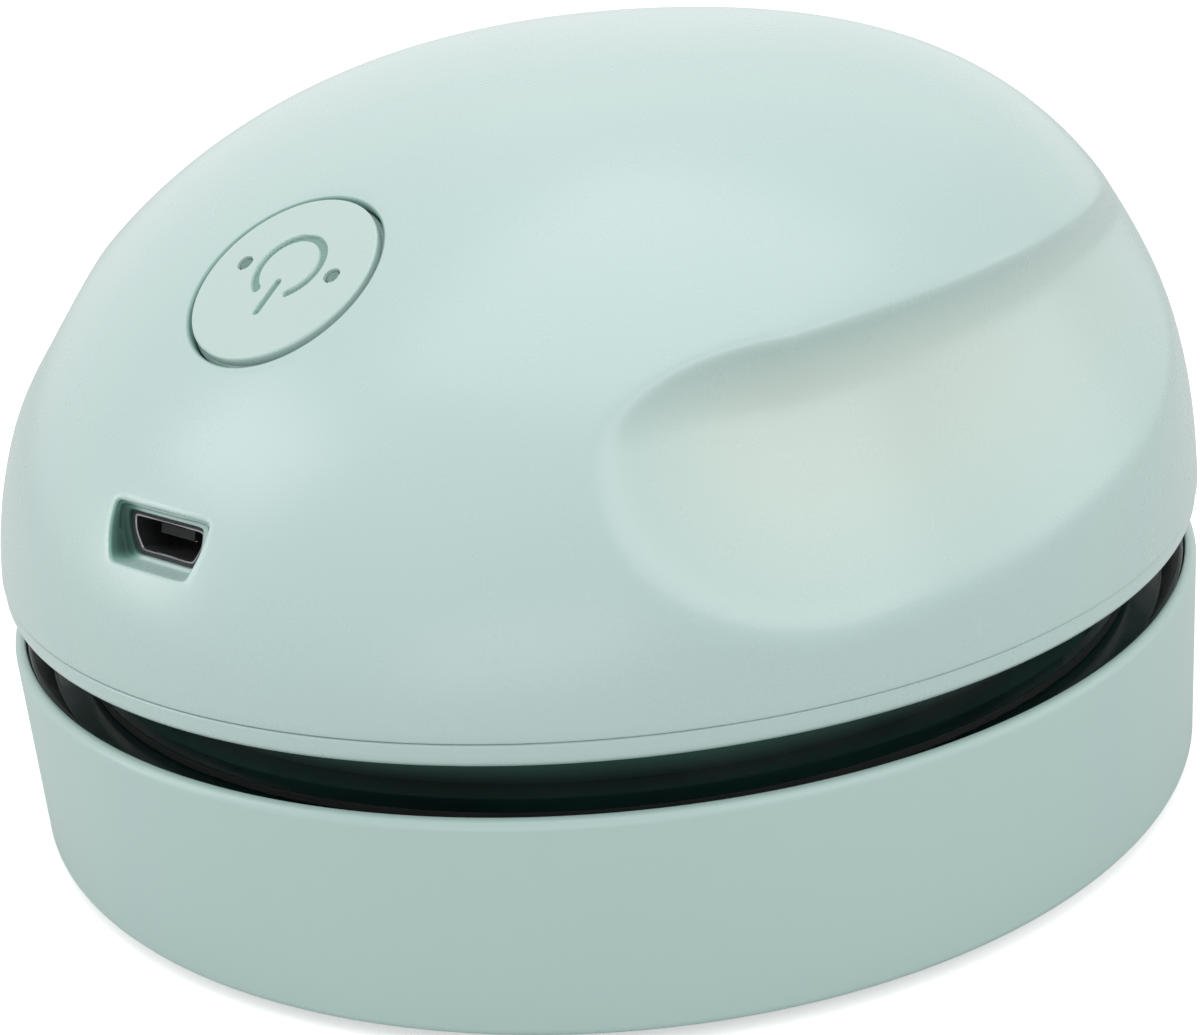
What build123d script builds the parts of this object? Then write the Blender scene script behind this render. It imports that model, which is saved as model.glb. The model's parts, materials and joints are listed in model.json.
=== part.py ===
from build123d import *
import math
import os

# Desktop mini vacuum cleaner, in millimetres. +Z is up and the origin lies on the table, under the middle
# of the round dust cup. The nose, with the power button and the charging socket, points to -Y.
# The head lifts straight off the cup. A fan under the head draws air up through a slot in the cup's floor
# and a pleated filter, and blows it out through windows in the collar, into the gap under the head.

# ---------------------------------------------------------------- driving dimensions: dust cup
body_radius = 47.0
foot_height = 0.9
foot_radius = 3.5
foot_pocket = 0.4
foot_inset = 10.0
cup_height = 15.8
cup_wall = 2.0
cup_floor = 2.0
cup_rim_round = 1.2
cup_foot_round = 0.8
slot_length = 46.0
slot_width = 10.0
chimney_wall = 1.6
chimney_height = 3.2
brush_length = 44.0
brush_width = 3.0
brush_groove = 1.0
brush_offset = 10.5
bristle_radius = 0.45
bristle_pitch = 2.2
bristle_lift = 0.15
lid_depth = 2.8
lid_thickness = 1.4
lid_breadth = 4.65
ledge_width = 1.6
ledge_height = 1.0
gasket_height = 0.7
gasket_width = 1.4

# ---------------------------------------------------------------- driving dimensions: head
gap_height = 3.5
band_height = 1.8
band_inset = 0.2
band_round = 1.0
parting_chamfer = 0.25
dome_height = 36.5
dome_wall = 2.0
dome_power = 2.51
dome_along_power = 2.45
dome_nose_power = 1.68
apex_shift = 9.45
apex_shift_power = 2.57
dome_cap = 0.08
dome_sections = 32
section_points = 72

grip_angle = 61.0
grip_front_angle = 18.5
grip_tail_angle = 62.0
grip_rise = 17.2
grip_climb = 0.075
grip_above = 5.2
grip_below = 10.6
grip_depth = 4.3
grip_crisp = 0.3
grip_soft = 0.55

collar_wall = 1.8
collar_drop = 10.8
flange_width = 2.0
flange_height = 1.0
inlet_radius = 14.0
inlet_plate = 1.5
window_rise = 0.9
window_height = 2.5
window_angle = 15.0
window_count = 7
window_first = 20.0
window_last = 160.0

fan_gap = 2.5
pocket_wall = 1.8
pocket_rise = 4.0
pocket_roof = 1.8
lip_height = 1.6
lip_wall = 1.2
lip_gap = 0.8

screw_radius = 0.95
screw_length = 8.0
screw_head_radius = 1.9
screw_head_height = 1.5
short_screw = 4.8
boss_radius = 3.0
boss_seat_height = 2.0
front_boss_inset = 11.0
front_boss_angle = 33.0
rear_boss_inset = 9.0
rear_boss_angle = 152.0
collar_screw_inset = 4.2
collar_post_radius = 2.6
collar_boss_height = 3.5

# ---------------------------------------------------------------- driving dimensions: button and switch
button_rise = 25.93
button_sink = 0.25
button_radius = 7.2
button_gap = 0.35
button_face = 2.0
button_skirt = 1.2
button_travel = 0.5
button_round = 0.3
symbol_radius = 2.55
symbol_line = 0.6
symbol_depth = 0.2
symbol_shift = 0.9
symbol_open_angle = 70.0
light_spacing = 8.8
light_shift = 0.7
light_radius = 0.7
sleeve_depth = 5.9
sleeve_wall = 1.5
flange_lip = 1.3
flange_thickness = 0.8
stem_radius = 1.9
stem_length = 5.4
plunger_radius = 1.75
plunger_length = 1.6
switch_width = 6.0
switch_height = 3.3
switch_board_length = 27.0
switch_board_width = 13.0
board_thickness = 1.0
switch_screw_spacing = 22.0
switch_post_radius = 2.0
led_length = 3.0
led_width = 2.0
led_height = 1.6

# ---------------------------------------------------------------- driving dimensions: charging socket
port_rise = 11.4
port_tilt = 15.0
port_recess = 1.2
port_width = 7.3
port_narrow = 5.5
port_height = 2.6
port_border = 0.85
port_border_height = 0.45
port_flare = 0.17
port_pad = 1.6
socket_metal = 0.25
socket_depth = 5.4
socket_stand = 0.15
tongue_height = 0.65
tongue_margin = 0.8
tongue_length = 4.2
contact_count = 5
contact_pitch = 0.65
contact_width = 0.35
contact_thickness = 0.12
contact_length = 3.8
main_board_length = 9.7
main_board_width = 24.0
main_board_setback = 2.7
main_screw_inset = 3.2
main_screw_depth = 7.4
main_post_radius = 2.3
charger_length = 4.9
charger_width = 4.0
charger_height = 1.5
driver_size = 2.4
driver_height = 1.1
coil_length = 3.2
coil_width = 4.0
coil_height = 2.0
capacitor_length = 1.2
capacitor_width = 2.0
capacitor_height = 0.9
component_gap = 0.6
component_edge = 0.3

# ---------------------------------------------------------------- driving dimensions: motor, fan, battery
shaft_radius = 1.0
motor_radius = 12.2
motor_length = 22.0
motor_skin = 0.8
damper_height = 1.0
motor_nose_radius = 3.6
bearing_radius = 2.6
bearing_length = 2.5
end_bell_height = 2.0
end_hub_height = 1.5
magnet_height = 14.0
magnet_thickness = 1.35
magnet_angle = 140.0
core_height = 10.0
core_gap = 0.5
winding_overhang = 1.2
commutator_radius = 3.0
commutator_height = 3.0
motor_screw_circle = 8.0
motor_screw_length = 4.0
motor_screw_sink = 0.9
brush_arm_length = 1.6
brush_arm_width = 2.0
brush_arm_height = 1.5
brush_leg_thickness = 0.4
terminal_thickness = 0.5
terminal_width = 2.4
terminal_height = 3.4
terminal_hole = 0.5
impeller_radius = 23.0
impeller_disc = 1.0
impeller_gap = 0.6
blade_count = 11
blade_inner_radius = 9.5
blade_height = 5.0
blade_thickness = 1.0
blade_sweep = 48.0
hub_radius = 4.5
bush_radius = 2.2
battery_radius = 7.0
battery_length = 50.0
battery_gap = 1.3
battery_lift = 1.2
cradle_spacing = 30.0
cradle_thickness = 2.0
cradle_wall = 1.0
cradle_grip = 2.5
battery_round = 0.6
tab_radius = 3.0
tab_thickness = 0.3
tab_slit = 1.8

# ---------------------------------------------------------------- driving dimensions: leads
lead_radius = 0.45
lead_bend = 0.4
lead_overlap = 2.0
lead_rise = 3.0
lead_side_turn = 14.0

# ---------------------------------------------------------------- driving dimensions: filter
filter_height = 5.1
filter_wall = 1.8
filter_gap = 0.5
filter_spoke = 2.0
filter_spoke_height = 1.4
filter_hub_radius = 5.0
pleat_height = 2.6
pleat_pitch = 4.0
pleat_thickness = 0.5
mesh_height = 0.4
seal_height = 1.2
seal_bite = 0.5
pull_tab_length = 14.0
pull_tab_height = 2.0

# ---------------------------------------------------------------- clearances
slip = 0.1             # between pieces that are put together by hand or machine
free = 0.35            # between pieces that move past each other
hole_clearance = 0.05  # radial, a screw in the hole that it cuts its thread in
pass_clearance = 0.2   # radial, a screw that passes through
running = 0.05         # radial, the shaft in its bearings

# ---------------------------------------------------------------- levels and radii that follow
cup_top = foot_height + cup_height
floor_top = foot_height + cup_floor
foot_circle = body_radius - foot_inset
head_bottom = cup_top + gap_height
parting = head_bottom + band_height
lid_top = cup_top - lid_depth
lid_bottom = lid_top - lid_thickness
flange_bottom = lid_top + gasket_height
plate_bottom = flange_bottom
plate_top = plate_bottom + inlet_plate
collar_bottom = head_bottom - collar_drop
cup_inside = body_radius - cup_wall
collar_radius = cup_inside - lid_breadth - free
collar_inside = collar_radius - collar_wall
collar_screw_circle = collar_inside - collar_screw_inset
pocket_radius = impeller_radius + fan_gap
front_boss_circle = body_radius - front_boss_inset
rear_boss_circle = body_radius - rear_boss_inset
roof_bottom = head_bottom + pocket_rise
roof_top = roof_bottom + pocket_roof
seat_level = parting + boss_seat_height
motor_bottom = roof_top + damper_height
motor_top = motor_bottom + motor_length
battery_y = motor_radius + battery_gap + battery_radius
battery_z = roof_top + battery_lift + battery_radius
impeller_top = roof_bottom - impeller_gap
filter_top = plate_bottom - slip
filter_bottom = filter_top - filter_height
filter_radius = collar_inside - filter_gap
media_radius = filter_radius - filter_wall


# ---------------------------------------------------------------- shared helpers
STAND = (Align.CENTER, Align.CENTER, Align.MIN)
HANG = (Align.CENTER, Align.CENTER, Align.MAX)


def turned(*corners):
    """A body of revolution about Z, from the (radius, height) corners of its half section."""
    return revolve(Plane.XZ * Polygon(*corners, align=None), Axis.Z)


def tube(outer, inner, low, high):
    """A plain ring between two levels."""
    return turned((inner, low), (outer, low), (outer, high), (inner, high))


def rod(radius, low, high):
    """A plain round bar on the Z axis between two levels."""
    return turned((0, low), (radius, low), (radius, high), (0, high))


def around(circle, angles):
    """Places on a circle, each given by its angle from the nose towards +X."""
    return [Pos(circle * math.sin(math.radians(a)), -circle * math.cos(math.radians(a)), 0) for a in angles]


def mirrored_pair(angle):
    """The same angle on both sides of the nose."""
    return [angle, -angle]


def screw(length, head_height=screw_head_height, head_radius=screw_head_radius):
    """A pan head screw that points up, with the underside of its head at level 0, and a cross recess."""
    head = rod(head_radius, -head_height, 0)
    head = fillet(head.edges().group_by(Axis.Z)[0], head_height * 0.4)
    recess = Pos(0, 0, -head_height) * Box(head_radius, head_radius * 0.25, head_height)
    return head - recess - Rot(0, 0, 90) * recess + rod(screw_radius, 0, length)


def rims(body, radius, low, high):
    """The body's circular edges of one radius that lie between two levels."""
    circles = body.edges().filter_by(GeomType.CIRCLE)
    return [e for e in circles if abs(e.radius - radius) < 1e-4 and low < e.center().Z < high]


def solids_of(pieces):
    """One shape that keeps every piece as a solid of its own."""
    return Compound([solid for piece in pieces for solid in piece.solids()])


# ---------------------------------------------------------------- the dome's form
def dome_point(height, turn, inset):
    """Point of the dome, set in by a wall, at a height over its foot and a turn round it from the nose.

    Level sections are ellipses that shrink upwards and move towards the tail. The two grips press the
    section inwards: a long dent on each side, deepest at grip_angle, that runs out towards the tail.
    """
    share = height / (dome_height - inset)
    along = (body_radius - inset) * (1 - share ** dome_nose_power) ** (1 / dome_along_power)
    across = (body_radius - inset) * (1 - share ** dome_power) ** (1 / dome_power)
    x = across * math.sin(turn)
    y = apex_shift * share ** apex_shift_power - along * math.cos(turn)
    scale = 1 - grip_dent(height, x, y) / math.hypot(x, y)
    return Vector(x * scale, y * scale, head_bottom + height)


def grip_dent(height, x, y):
    """Depth of the finger grips at a point of the dome: steep and crisp above, long and soft below."""
    angle = math.degrees(math.atan2(abs(x), -y)) - grip_angle
    reach = grip_front_angle if angle < 0 else grip_tail_angle
    level = height - grip_rise - grip_climb * max(angle, 0)
    half = grip_above if level > 0 else grip_below
    depth = grip_depth * (1 - (angle / reach) ** 2 - (level / half) ** 2)
    share = min(max(-level / grip_below, 0), 1)
    blend = grip_crisp + (grip_soft - grip_crisp) * share * share * (3 - 2 * share)
    return blend * math.log1p(math.exp(depth / blend))


def dome_solid(inset):
    """The head's full form, set in by a wall: one loft through closed curves, closest at the apex."""
    top = dome_height - inset - dome_cap
    heights = [top * math.sin(math.pi / 2 * i / dome_sections) for i in range(dome_sections + 1)]
    knots = [i / section_points for i in range(section_points + 1)]
    rings = []
    for height in heights:
        points = [dome_point(height, 2 * math.pi * k, inset) for k in knots[:-1]]
        rings.append(Wire([Edge.make_spline(points, periodic=True, parameters=knots)]))
    return Solid.make_loft(rings)


def nose_line(height):
    """Y of the dome's nose line at a height over its foot."""
    return dome_point(height, 0.0, 0.0).Y


def on_nose(rise, sink):
    """Plane that lies on the nose line, facing straight out of the dome, a little under the surface."""
    step = 0.05
    climb = Vector(0, nose_line(rise + step) - nose_line(rise - step), 2 * step).normalized()
    outward = Vector(1, 0, 0).cross(climb)
    point = Vector(0, nose_line(rise), head_bottom + rise) - outward * sink
    return Plane(origin=point, x_dir=(1, 0, 0), z_dir=outward)


def port_plane():
    """Plane of the charging socket's mouth, facing out and a little up."""
    tilt = math.radians(port_tilt)
    point = (0, nose_line(port_rise) + port_recess, head_bottom + port_rise)
    return Plane(origin=point, x_dir=(1, 0, 0), z_dir=(0, -math.cos(tilt), math.sin(tilt)))


button_frame = on_nose(button_rise, button_sink)
port_frame = port_plane()

# Levels under the button's face, along its own axis.
sleeve_bottom = -sleeve_depth
flange_top = sleeve_bottom - slip
stem_bottom = -button_face - stem_length
plunger_bottom = stem_bottom - plunger_length
switch_top = plunger_bottom + button_travel + slip
switch_bottom = switch_top - switch_height
sleeve_radius = button_radius + button_gap

# Level of the main board under the socket, along the socket's own height.
board_top = -port_height / 2
board_bottom = board_top - board_thickness
socket_back = -socket_depth - socket_stand + socket_metal
main_board_end = main_board_setback + main_board_length
main_screw_spacing = main_board_width - 2 * main_screw_inset


# ---------------------------------------------------------------- dust cup and what it holds
def slot_block(length, width, low, high):
    """A block with round ends between two levels."""
    return extrude(Pos(0, 0, low) * SlotOverall(length, width), high - low)


def dust_cup():
    """Round tray with a ledge for the lid ring, an inlet chimney, and pockets for the feet and brushes."""
    ledge_top = lid_bottom
    ledge_radius = cup_inside - ledge_width
    cup = turned(
        (0, foot_height), (body_radius, foot_height), (body_radius, cup_top), (cup_inside, cup_top),
        (cup_inside, ledge_top), (ledge_radius, ledge_top), (ledge_radius, ledge_top - ledge_height),
        (cup_inside, ledge_top - ledge_height - ledge_width), (cup_inside, floor_top), (0, floor_top))
    cup = fillet(rims(cup, body_radius, floor_top, cup_top + 1), cup_rim_round)
    cup = fillet(rims(cup, body_radius, 0, floor_top), cup_foot_round)
    outer = 2 * chimney_wall
    cup += slot_block(slot_length + outer, slot_width + outer, foot_height, floor_top + chimney_height)
    cup -= slot_block(slot_length, slot_width, 0, cup_top)
    for place in around(foot_circle, foot_angles()):
        cup -= place * rod(foot_radius, foot_height - 1, foot_height + foot_pocket)
    for side in (-1, 1):
        cup -= Pos(0, side * brush_offset, 0) * brush_bar(brush_width, brush_groove)
    return cup


def foot_angles():
    """The feet stand on the diagonals."""
    return [45, 135, 225, 315]


def brush_bar(width, height):
    """The straight bar that carries a brush, in the underside of the cup's floor."""
    return Pos(0, 0, foot_height) * Box(brush_length, width, height, align=STAND)


def brush_strips():
    """Two bars of short bristles, in front of the inlet slot and behind it."""
    tuft = rod(bristle_radius, bristle_lift, foot_height)
    count = int((brush_length - bristle_pitch) / bristle_pitch)
    bar = brush_bar(brush_width - 2 * slip, brush_groove)
    for i in range(count):
        bar += Pos((i - (count - 1) / 2) * bristle_pitch, 0, 0) * tuft
    return solids_of([Pos(0, side * brush_offset, 0) * bar for side in (-1, 1)])


def glide_feet():
    """Four round pads, set into the floor's underside."""
    foot = rod(foot_radius - slip, 0, foot_height + foot_pocket)
    foot = fillet(foot.edges().group_by(Axis.Z)[0], foot_height * 0.25)
    return solids_of([place * foot for place in around(foot_circle, foot_angles())])


def lid_ring():
    """Flat ring on the cup's ledge, with a low rim round the mouth that the collar goes through."""
    mouth = collar_radius + free
    rim = mouth + free
    return turned(
        (mouth, lid_bottom), (cup_inside - slip, lid_bottom), (cup_inside - slip, lid_top),
        (rim, lid_top), (mouth, lid_top - free))


def seal_gasket():
    """Soft ring between the lid ring and the collar's flange."""
    inner = collar_radius + 2 * free
    ring = tube(inner + gasket_width, inner, lid_top, flange_bottom)
    return fillet(ring.edges().group_by(Axis.Z)[0], gasket_height * 0.3)


# ---------------------------------------------------------------- head: the two housings
def shell_boss_places():
    """Where the housing screws stand."""
    front = around(front_boss_circle, mirrored_pair(front_boss_angle))
    return front + around(rear_boss_circle, mirrored_pair(rear_boss_angle))


def port_outline(side, rise):
    """The socket's outline, wide side up, grown by a border at the sides and another above and below."""
    wide = port_width / 2 + side
    narrow = port_narrow / 2 + side
    half = port_height / 2 + rise
    return Polygon((-wide, half), (-wide, half * 0.1), (-narrow, -half), (narrow, -half),
                   (wide, half * 0.1), (wide, half), align=None)


def port_recess_cut():
    """The recess round the socket: a flared pocket that opens through the dome."""
    run = 3 * port_recess
    flare = port_flare * run
    back = port_outline(port_border, port_border_height)
    front = Pos(0, 0, run) * port_outline(port_border + flare, port_border_height + flare)
    return port_frame * loft([back, front])


def upper_shell():
    """The domed cover: a thin wall with both grips pressed in, the button's sleeve and the screw bosses."""
    form = dome_solid(0.0)
    cavity = dome_solid(dome_wall)
    backing = dome_solid(dome_wall / 2)
    inside = sleeve_and_posts() + port_backing()
    for place in shell_boss_places():
        inside += place * rod(boss_radius, seat_level, head_bottom + dome_height)
    shell = form - cavity + (inside & backing)
    shell -= button_frame * rod(sleeve_radius, -button_rise / 2, button_radius)
    shell -= port_recess_cut()
    shell -= port_frame * extrude(port_outline(slip / 2, slip / 2), -3 * port_pad)
    for place in shell_boss_places():
        shell -= place * rod(screw_radius + hole_clearance, 0, seat_level + screw_length)
    for place in switch_screw_places():
        shell -= place * rod(screw_radius + hole_clearance, switch_bottom - 1, switch_bottom + short_screw)
    shell = split(shell, bisect_by=Plane.XY.offset(parting), keep=Keep.TOP)
    return shell.solids().sort_by(SortBy.VOLUME)[-1]


def switch_screw_places():
    """Where the switch board's screws stand, under the button."""
    return [button_frame.location * Pos(side * switch_screw_spacing / 2, 0, 0) for side in (-1, 1)]


def sleeve_and_posts():
    """Guide sleeve round the button, and the two posts that carry the switch board."""
    parts = button_frame * rod(sleeve_radius + sleeve_wall, sleeve_bottom, button_radius)
    for place in switch_screw_places():
        parts += place * rod(switch_post_radius, switch_bottom, button_radius)
    return parts


def port_backing():
    """Thick pad behind the dome's wall that frames the socket."""
    pad = Box(port_width + 4 * port_pad, port_height + 3 * port_pad, port_pad + port_recess, align=STAND)
    return port_frame * Pos(0, 0, -port_pad) * pad


def lower_housing():
    """The head's floor: rim band, fan pocket, battery cradle and the bosses that take the screws."""
    rim = body_radius - band_inset
    lip = body_radius - dome_wall - lip_gap
    pocket = pocket_radius + pocket_wall
    house = turned((0, head_bottom), (rim, head_bottom), (rim, parting), (lip, parting),
                   (lip, parting + lip_height), (lip - lip_wall, parting + lip_height),
                   (lip - lip_wall, parting), (pocket, parting), (pocket, roof_top), (0, roof_top))
    house = fillet(rims(house, rim, 0, parting - slip), band_round)
    house = chamfer(rims(house, rim, parting - slip, parting + slip), parting_chamfer)
    for side in (-1, 1):
        house += Pos(side * cradle_spacing / 2, 0, 0) * cradle_rib()
    for place in shell_boss_places():
        house += place * rod(boss_radius, parting, seat_level)
        house -= place * rod(screw_radius + pass_clearance, 0, seat_level)
        house -= place * rod(screw_head_radius + pass_clearance, 0, screw_seat())
    for place in collar_screw_places():
        house += place * rod(collar_post_radius, parting, parting + collar_boss_height)
        house -= place * rod(screw_radius + hole_clearance, 0, parting + collar_boss_height - slip)
    for post in main_posts():
        house += post
    for frame in main_screw_frames():
        house -= frame * rod(screw_radius + hole_clearance, board_top - short_screw, board_bottom)
    house -= rod(pocket_radius, 0, roof_bottom)
    house -= rod(motor_nose_radius + slip, 0, roof_top + 1)
    for place in motor_screw_places():
        house -= place * rod(screw_radius + pass_clearance, 0, roof_top + 1)
        house -= place * rod(screw_head_radius + pass_clearance, 0, roof_bottom + motor_screw_sink)
    return house


def screw_seat():
    """Level of the housing screws' seats, a head's height up inside the floor."""
    return head_bottom + screw_head_height + hole_clearance * 2


def cradle_rib():
    """One upright plate that the battery snaps into."""
    rib = Plane.YZ.offset(-cradle_thickness / 2) * Pos(battery_y, (parting + battery_z + cradle_grip) / 2)
    width = 2 * (battery_radius + cradle_wall)
    plate = extrude(rib * Rectangle(width, battery_z + cradle_grip - parting), cradle_thickness)
    bed = rod(battery_radius + slip / 2, -battery_length / 2, battery_length / 2)
    return plate - battery_place() * bed


def collar_screw_places():
    """Four screws hold the collar, on the two main axes."""
    return around(collar_screw_circle, [0, 90, 180, 270])


def motor_screw_places():
    """Two screws hold the motor, on either side of its shaft."""
    return [Pos(side * motor_screw_circle, 0, 0) for side in (-1, 1)]


def main_screw_frames():
    """The main board's screws, square to the board, some way in from the socket's mouth."""
    return [board_frame() * Pos(side * main_screw_spacing / 2, main_screw_depth, 0) for side in (-1, 1)]


def main_posts():
    """Posts from the head's floor up to the tilted board, cut off along its underside."""
    posts = []
    for frame in main_screw_frames():
        foot = frame.position
        post = Pos(foot.X, foot.Y, 0) * rod(main_post_radius, parting, head_bottom + port_rise)
        above = frame * Pos(0, 0, board_bottom) * Box(body_radius, body_radius, body_radius, align=STAND)
        posts.append(post - above)
    return posts


# ---------------------------------------------------------------- head: collar
def exhaust_collar():
    """Round skirt under the head: a flange that seats on the cup, the fan's inlet plate and the windows."""
    flange = collar_radius + flange_width
    throat = inlet_radius + inlet_plate
    collar = turned(
        (collar_inside, collar_bottom), (collar_radius, collar_bottom), (collar_radius, flange_bottom),
        (flange, flange_bottom), (flange, flange_bottom + flange_height),
        (collar_radius, flange_bottom + flange_height), (collar_radius, head_bottom),
        (collar_inside, head_bottom), (collar_inside, plate_top), (throat, plate_top),
        (inlet_radius, plate_top + free), (inlet_radius, plate_bottom), (collar_inside, plate_bottom))
    for place in collar_screw_places():
        collar += place * rod(collar_post_radius, plate_bottom, head_bottom)
    for place in collar_screw_places():
        collar -= place * rod(screw_radius + pass_clearance, 0, head_bottom)
        collar -= place * rod(screw_head_radius + pass_clearance, 0, collar_seat())
    for i in range(window_count):
        turn = window_first + (window_last - window_first) * i / (window_count - 1)
        collar -= Rot(0, 0, turn) * window_cut()
    return collar


def collar_seat():
    """Level of the collar screws' seats."""
    return plate_bottom + screw_head_height + slip


def window_cut():
    """One exhaust window: a wedge through the collar's wall, centred on +X."""
    reach = collar_radius + flange_width
    width = reach * math.tan(math.radians(window_angle / 2))
    wedge = Polygon((0, 0), (reach, -width), (reach, width), align=None)
    low = plate_top + window_rise
    return extrude(Pos(0, 0, low) * wedge, window_height) - rod(collar_inside - 1, 0, head_bottom)


def housing_screws():
    """Four screws from under the head into the dome's bosses."""
    return solids_of([place * Pos(0, 0, screw_seat()) * screw(screw_length - 2 * slip)
                      for place in shell_boss_places()])


def collar_screws():
    """Four screws from under the inlet plate into the head's floor."""
    length = parting + collar_boss_height - collar_seat() - 3 * slip
    return solids_of([place * Pos(0, 0, collar_seat()) * screw(length) for place in collar_screw_places()])


# ---------------------------------------------------------------- head: motor
def motor_can():
    """Drawn steel can, closed below, with a nose round the lower bearing."""
    inside = motor_radius - motor_skin
    can = turned(
        (bearing_radius, roof_bottom + slip * 2), (motor_nose_radius, roof_bottom + slip * 2),
        (motor_nose_radius, motor_bottom), (motor_radius, motor_bottom), (motor_radius, motor_top),
        (inside, motor_top), (inside, motor_bottom + motor_skin),
        (bearing_radius, motor_bottom + motor_skin))
    for place in motor_screw_places():
        can -= place * rod(screw_radius + hole_clearance, 0, motor_bottom + 2 * motor_skin)
    return fillet(rims(can, motor_radius, 0, motor_top - 1), motor_skin)


def motor_end_bell():
    """Plastic end cap in the can's mouth, with a hub for the upper bearing."""
    inside = motor_radius - motor_skin - slip / 2
    hub = bearing_radius + motor_skin + slip
    low = motor_top - end_bell_height
    return turned((bearing_radius, low), (inside, low), (inside, motor_top), (hub, motor_top),
                  (hub, motor_top + end_hub_height), (bearing_radius, motor_top + end_hub_height))


def motor_bearings():
    """Two sintered bushes, one in the can's nose and one in the end cap."""
    bore = shaft_radius + running
    lower = tube(bearing_radius, bore, motor_bottom - bearing_length / 2, motor_bottom + bearing_length / 2)
    top = motor_top + end_hub_height
    return solids_of([lower, tube(bearing_radius, bore, top - bearing_length, top)])


def magnet_bottom():
    """The magnets sit halfway up the can."""
    return motor_bottom + (motor_length - end_bell_height - magnet_height) / 2


def motor_magnets():
    """Two curved magnets against the can's wall."""
    outer = motor_radius - motor_skin - slip / 2
    low = magnet_bottom()
    ring_body = tube(outer, outer - magnet_thickness, low, low + magnet_height)
    half = math.radians(magnet_angle / 2)
    reach = 2 * motor_radius
    wedge = extrude(Pos(0, 0, low) * Polygon(
        (0, 0), (reach * math.cos(half), -reach * math.sin(half)), (reach, -reach), (reach, reach),
        (reach * math.cos(half), reach * math.sin(half)), align=None), magnet_height)
    piece = ring_body & wedge
    return solids_of([piece, Rot(0, 0, 180) * piece])


def commutator_bottom():
    """The commutator ends just under the end cap."""
    return motor_top - end_bell_height - commutator_height - free


def motor_brushes():
    """Two contact arms that hang from the end cap on either side of the commutator."""
    gap = commutator_radius + slip
    top = motor_top - end_bell_height
    low = top - brush_arm_height - free
    profile = Polygon(
        (gap, low), (gap + brush_arm_length, low), (gap + brush_arm_length, top),
        (gap + brush_arm_length - brush_leg_thickness, top),
        (gap + brush_arm_length - brush_leg_thickness, top - free), (gap, top - free), align=None)
    arm = extrude(Plane.XZ * profile, brush_arm_width / 2, both=True)
    return solids_of([arm, Rot(0, 0, 180) * arm])


def motor_terminals():
    """Two solder tabs that stand on the end cap."""
    outline = Pos(0, terminal_height / 2) * Rectangle(terminal_width, terminal_height)
    outline -= Pos(0, terminal_height - terminal_width / 2) * Circle(terminal_hole)
    tab = extrude(Plane.YZ * outline, terminal_thickness / 2, both=True)
    return solids_of([Pos(side * motor_screw_circle, 0, motor_top) * tab for side in (-1, 1)])


def motor_damper():
    """Soft washer between the motor and the fan pocket's roof."""
    pad = tube(motor_radius, motor_nose_radius + slip, roof_top, motor_bottom)
    for place in motor_screw_places():
        pad -= place * rod(screw_radius + pass_clearance, 0, motor_top)
    return pad


def motor_screws():
    """Two screws up through the pocket's roof into the motor."""
    seat = roof_bottom + motor_screw_sink
    sunk = screw(motor_screw_length, motor_screw_sink)
    return solids_of([place * Pos(0, 0, seat) * sunk for place in motor_screw_places()])


# ---------------------------------------------------------------- rotor
def motor_shaft():
    """Steel shaft through both bearings, down into the fan's hub."""
    return rod(shaft_radius, impeller_bottom(), motor_top + end_hub_height + slip * 2)


def impeller_bottom():
    """Lowest level of the fan's hub and blades."""
    return impeller_top - impeller_disc - blade_height


def armature_core():
    """Three-pole laminated core on the shaft."""
    low = magnet_bottom() + (magnet_height - core_height) / 2
    inner = motor_radius - motor_skin - magnet_thickness - slip / 2
    tip = inner - core_gap
    core = Circle(tip * 0.42)
    shoe = Circle(tip) - Circle(tip * 0.78)
    for i in range(3):
        arm = Rot(0, 0, 120 * i) * Pos(tip * 0.5, 0) * Rectangle(tip * 0.8, tip * 0.3)
        wedge = Polygon((0, 0), (tip * 2, -tip * 2.4), (tip * 2, tip * 2.4), align=None)
        core += arm + (shoe & Rot(0, 0, 120 * i) * wedge)
    core -= Circle(shaft_radius)
    return extrude(Pos(0, 0, low) * core, core_height)


def windings():
    """Three coils, one round each arm of the core."""
    low = magnet_bottom() + (magnet_height - core_height) / 2 - winding_overhang
    inner = motor_radius - motor_skin - magnet_thickness - slip / 2
    tip = inner - core_gap
    high = core_height + 2 * winding_overhang
    coils = []
    for i in range(3):
        coil = Pos(tip * 0.6, 0, low) * Box(tip * 0.3, tip * 0.62, high, align=STAND)
        coil = fillet(coil.edges().filter_by(Axis.X), winding_overhang * 0.8)
        coils.append(Rot(0, 0, 120 * i) * coil - armature_core())
    return solids_of(coils)


def commutator():
    """Copper drum that the contact arms press on, on a sleeve that reaches down to the core."""
    low = magnet_bottom() + (magnet_height + core_height) / 2
    step = shaft_radius + free * 2
    return turned((shaft_radius, low), (step, low), (step, commutator_bottom()),
                  (commutator_radius, commutator_bottom()),
                  (commutator_radius, commutator_bottom() + commutator_height),
                  (shaft_radius, commutator_bottom() + commutator_height))


def blade():
    """One backward curved blade: a thickened arc between the hub and the fan's rim."""
    sweep = math.radians(blade_sweep)
    start = Vector(blade_inner_radius, 0)
    end = Vector(impeller_radius * math.cos(sweep), impeller_radius * math.sin(sweep))
    mid = Vector((blade_inner_radius + impeller_radius) * 0.53 * math.cos(sweep * 0.36),
                 (blade_inner_radius + impeller_radius) * 0.53 * math.sin(sweep * 0.36))
    path = ThreePointArc(start, mid, end)
    outline = Pos(0, 0, impeller_bottom()) * trace(path, blade_thickness)
    return extrude(outline, blade_height + impeller_disc / 2)


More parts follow.
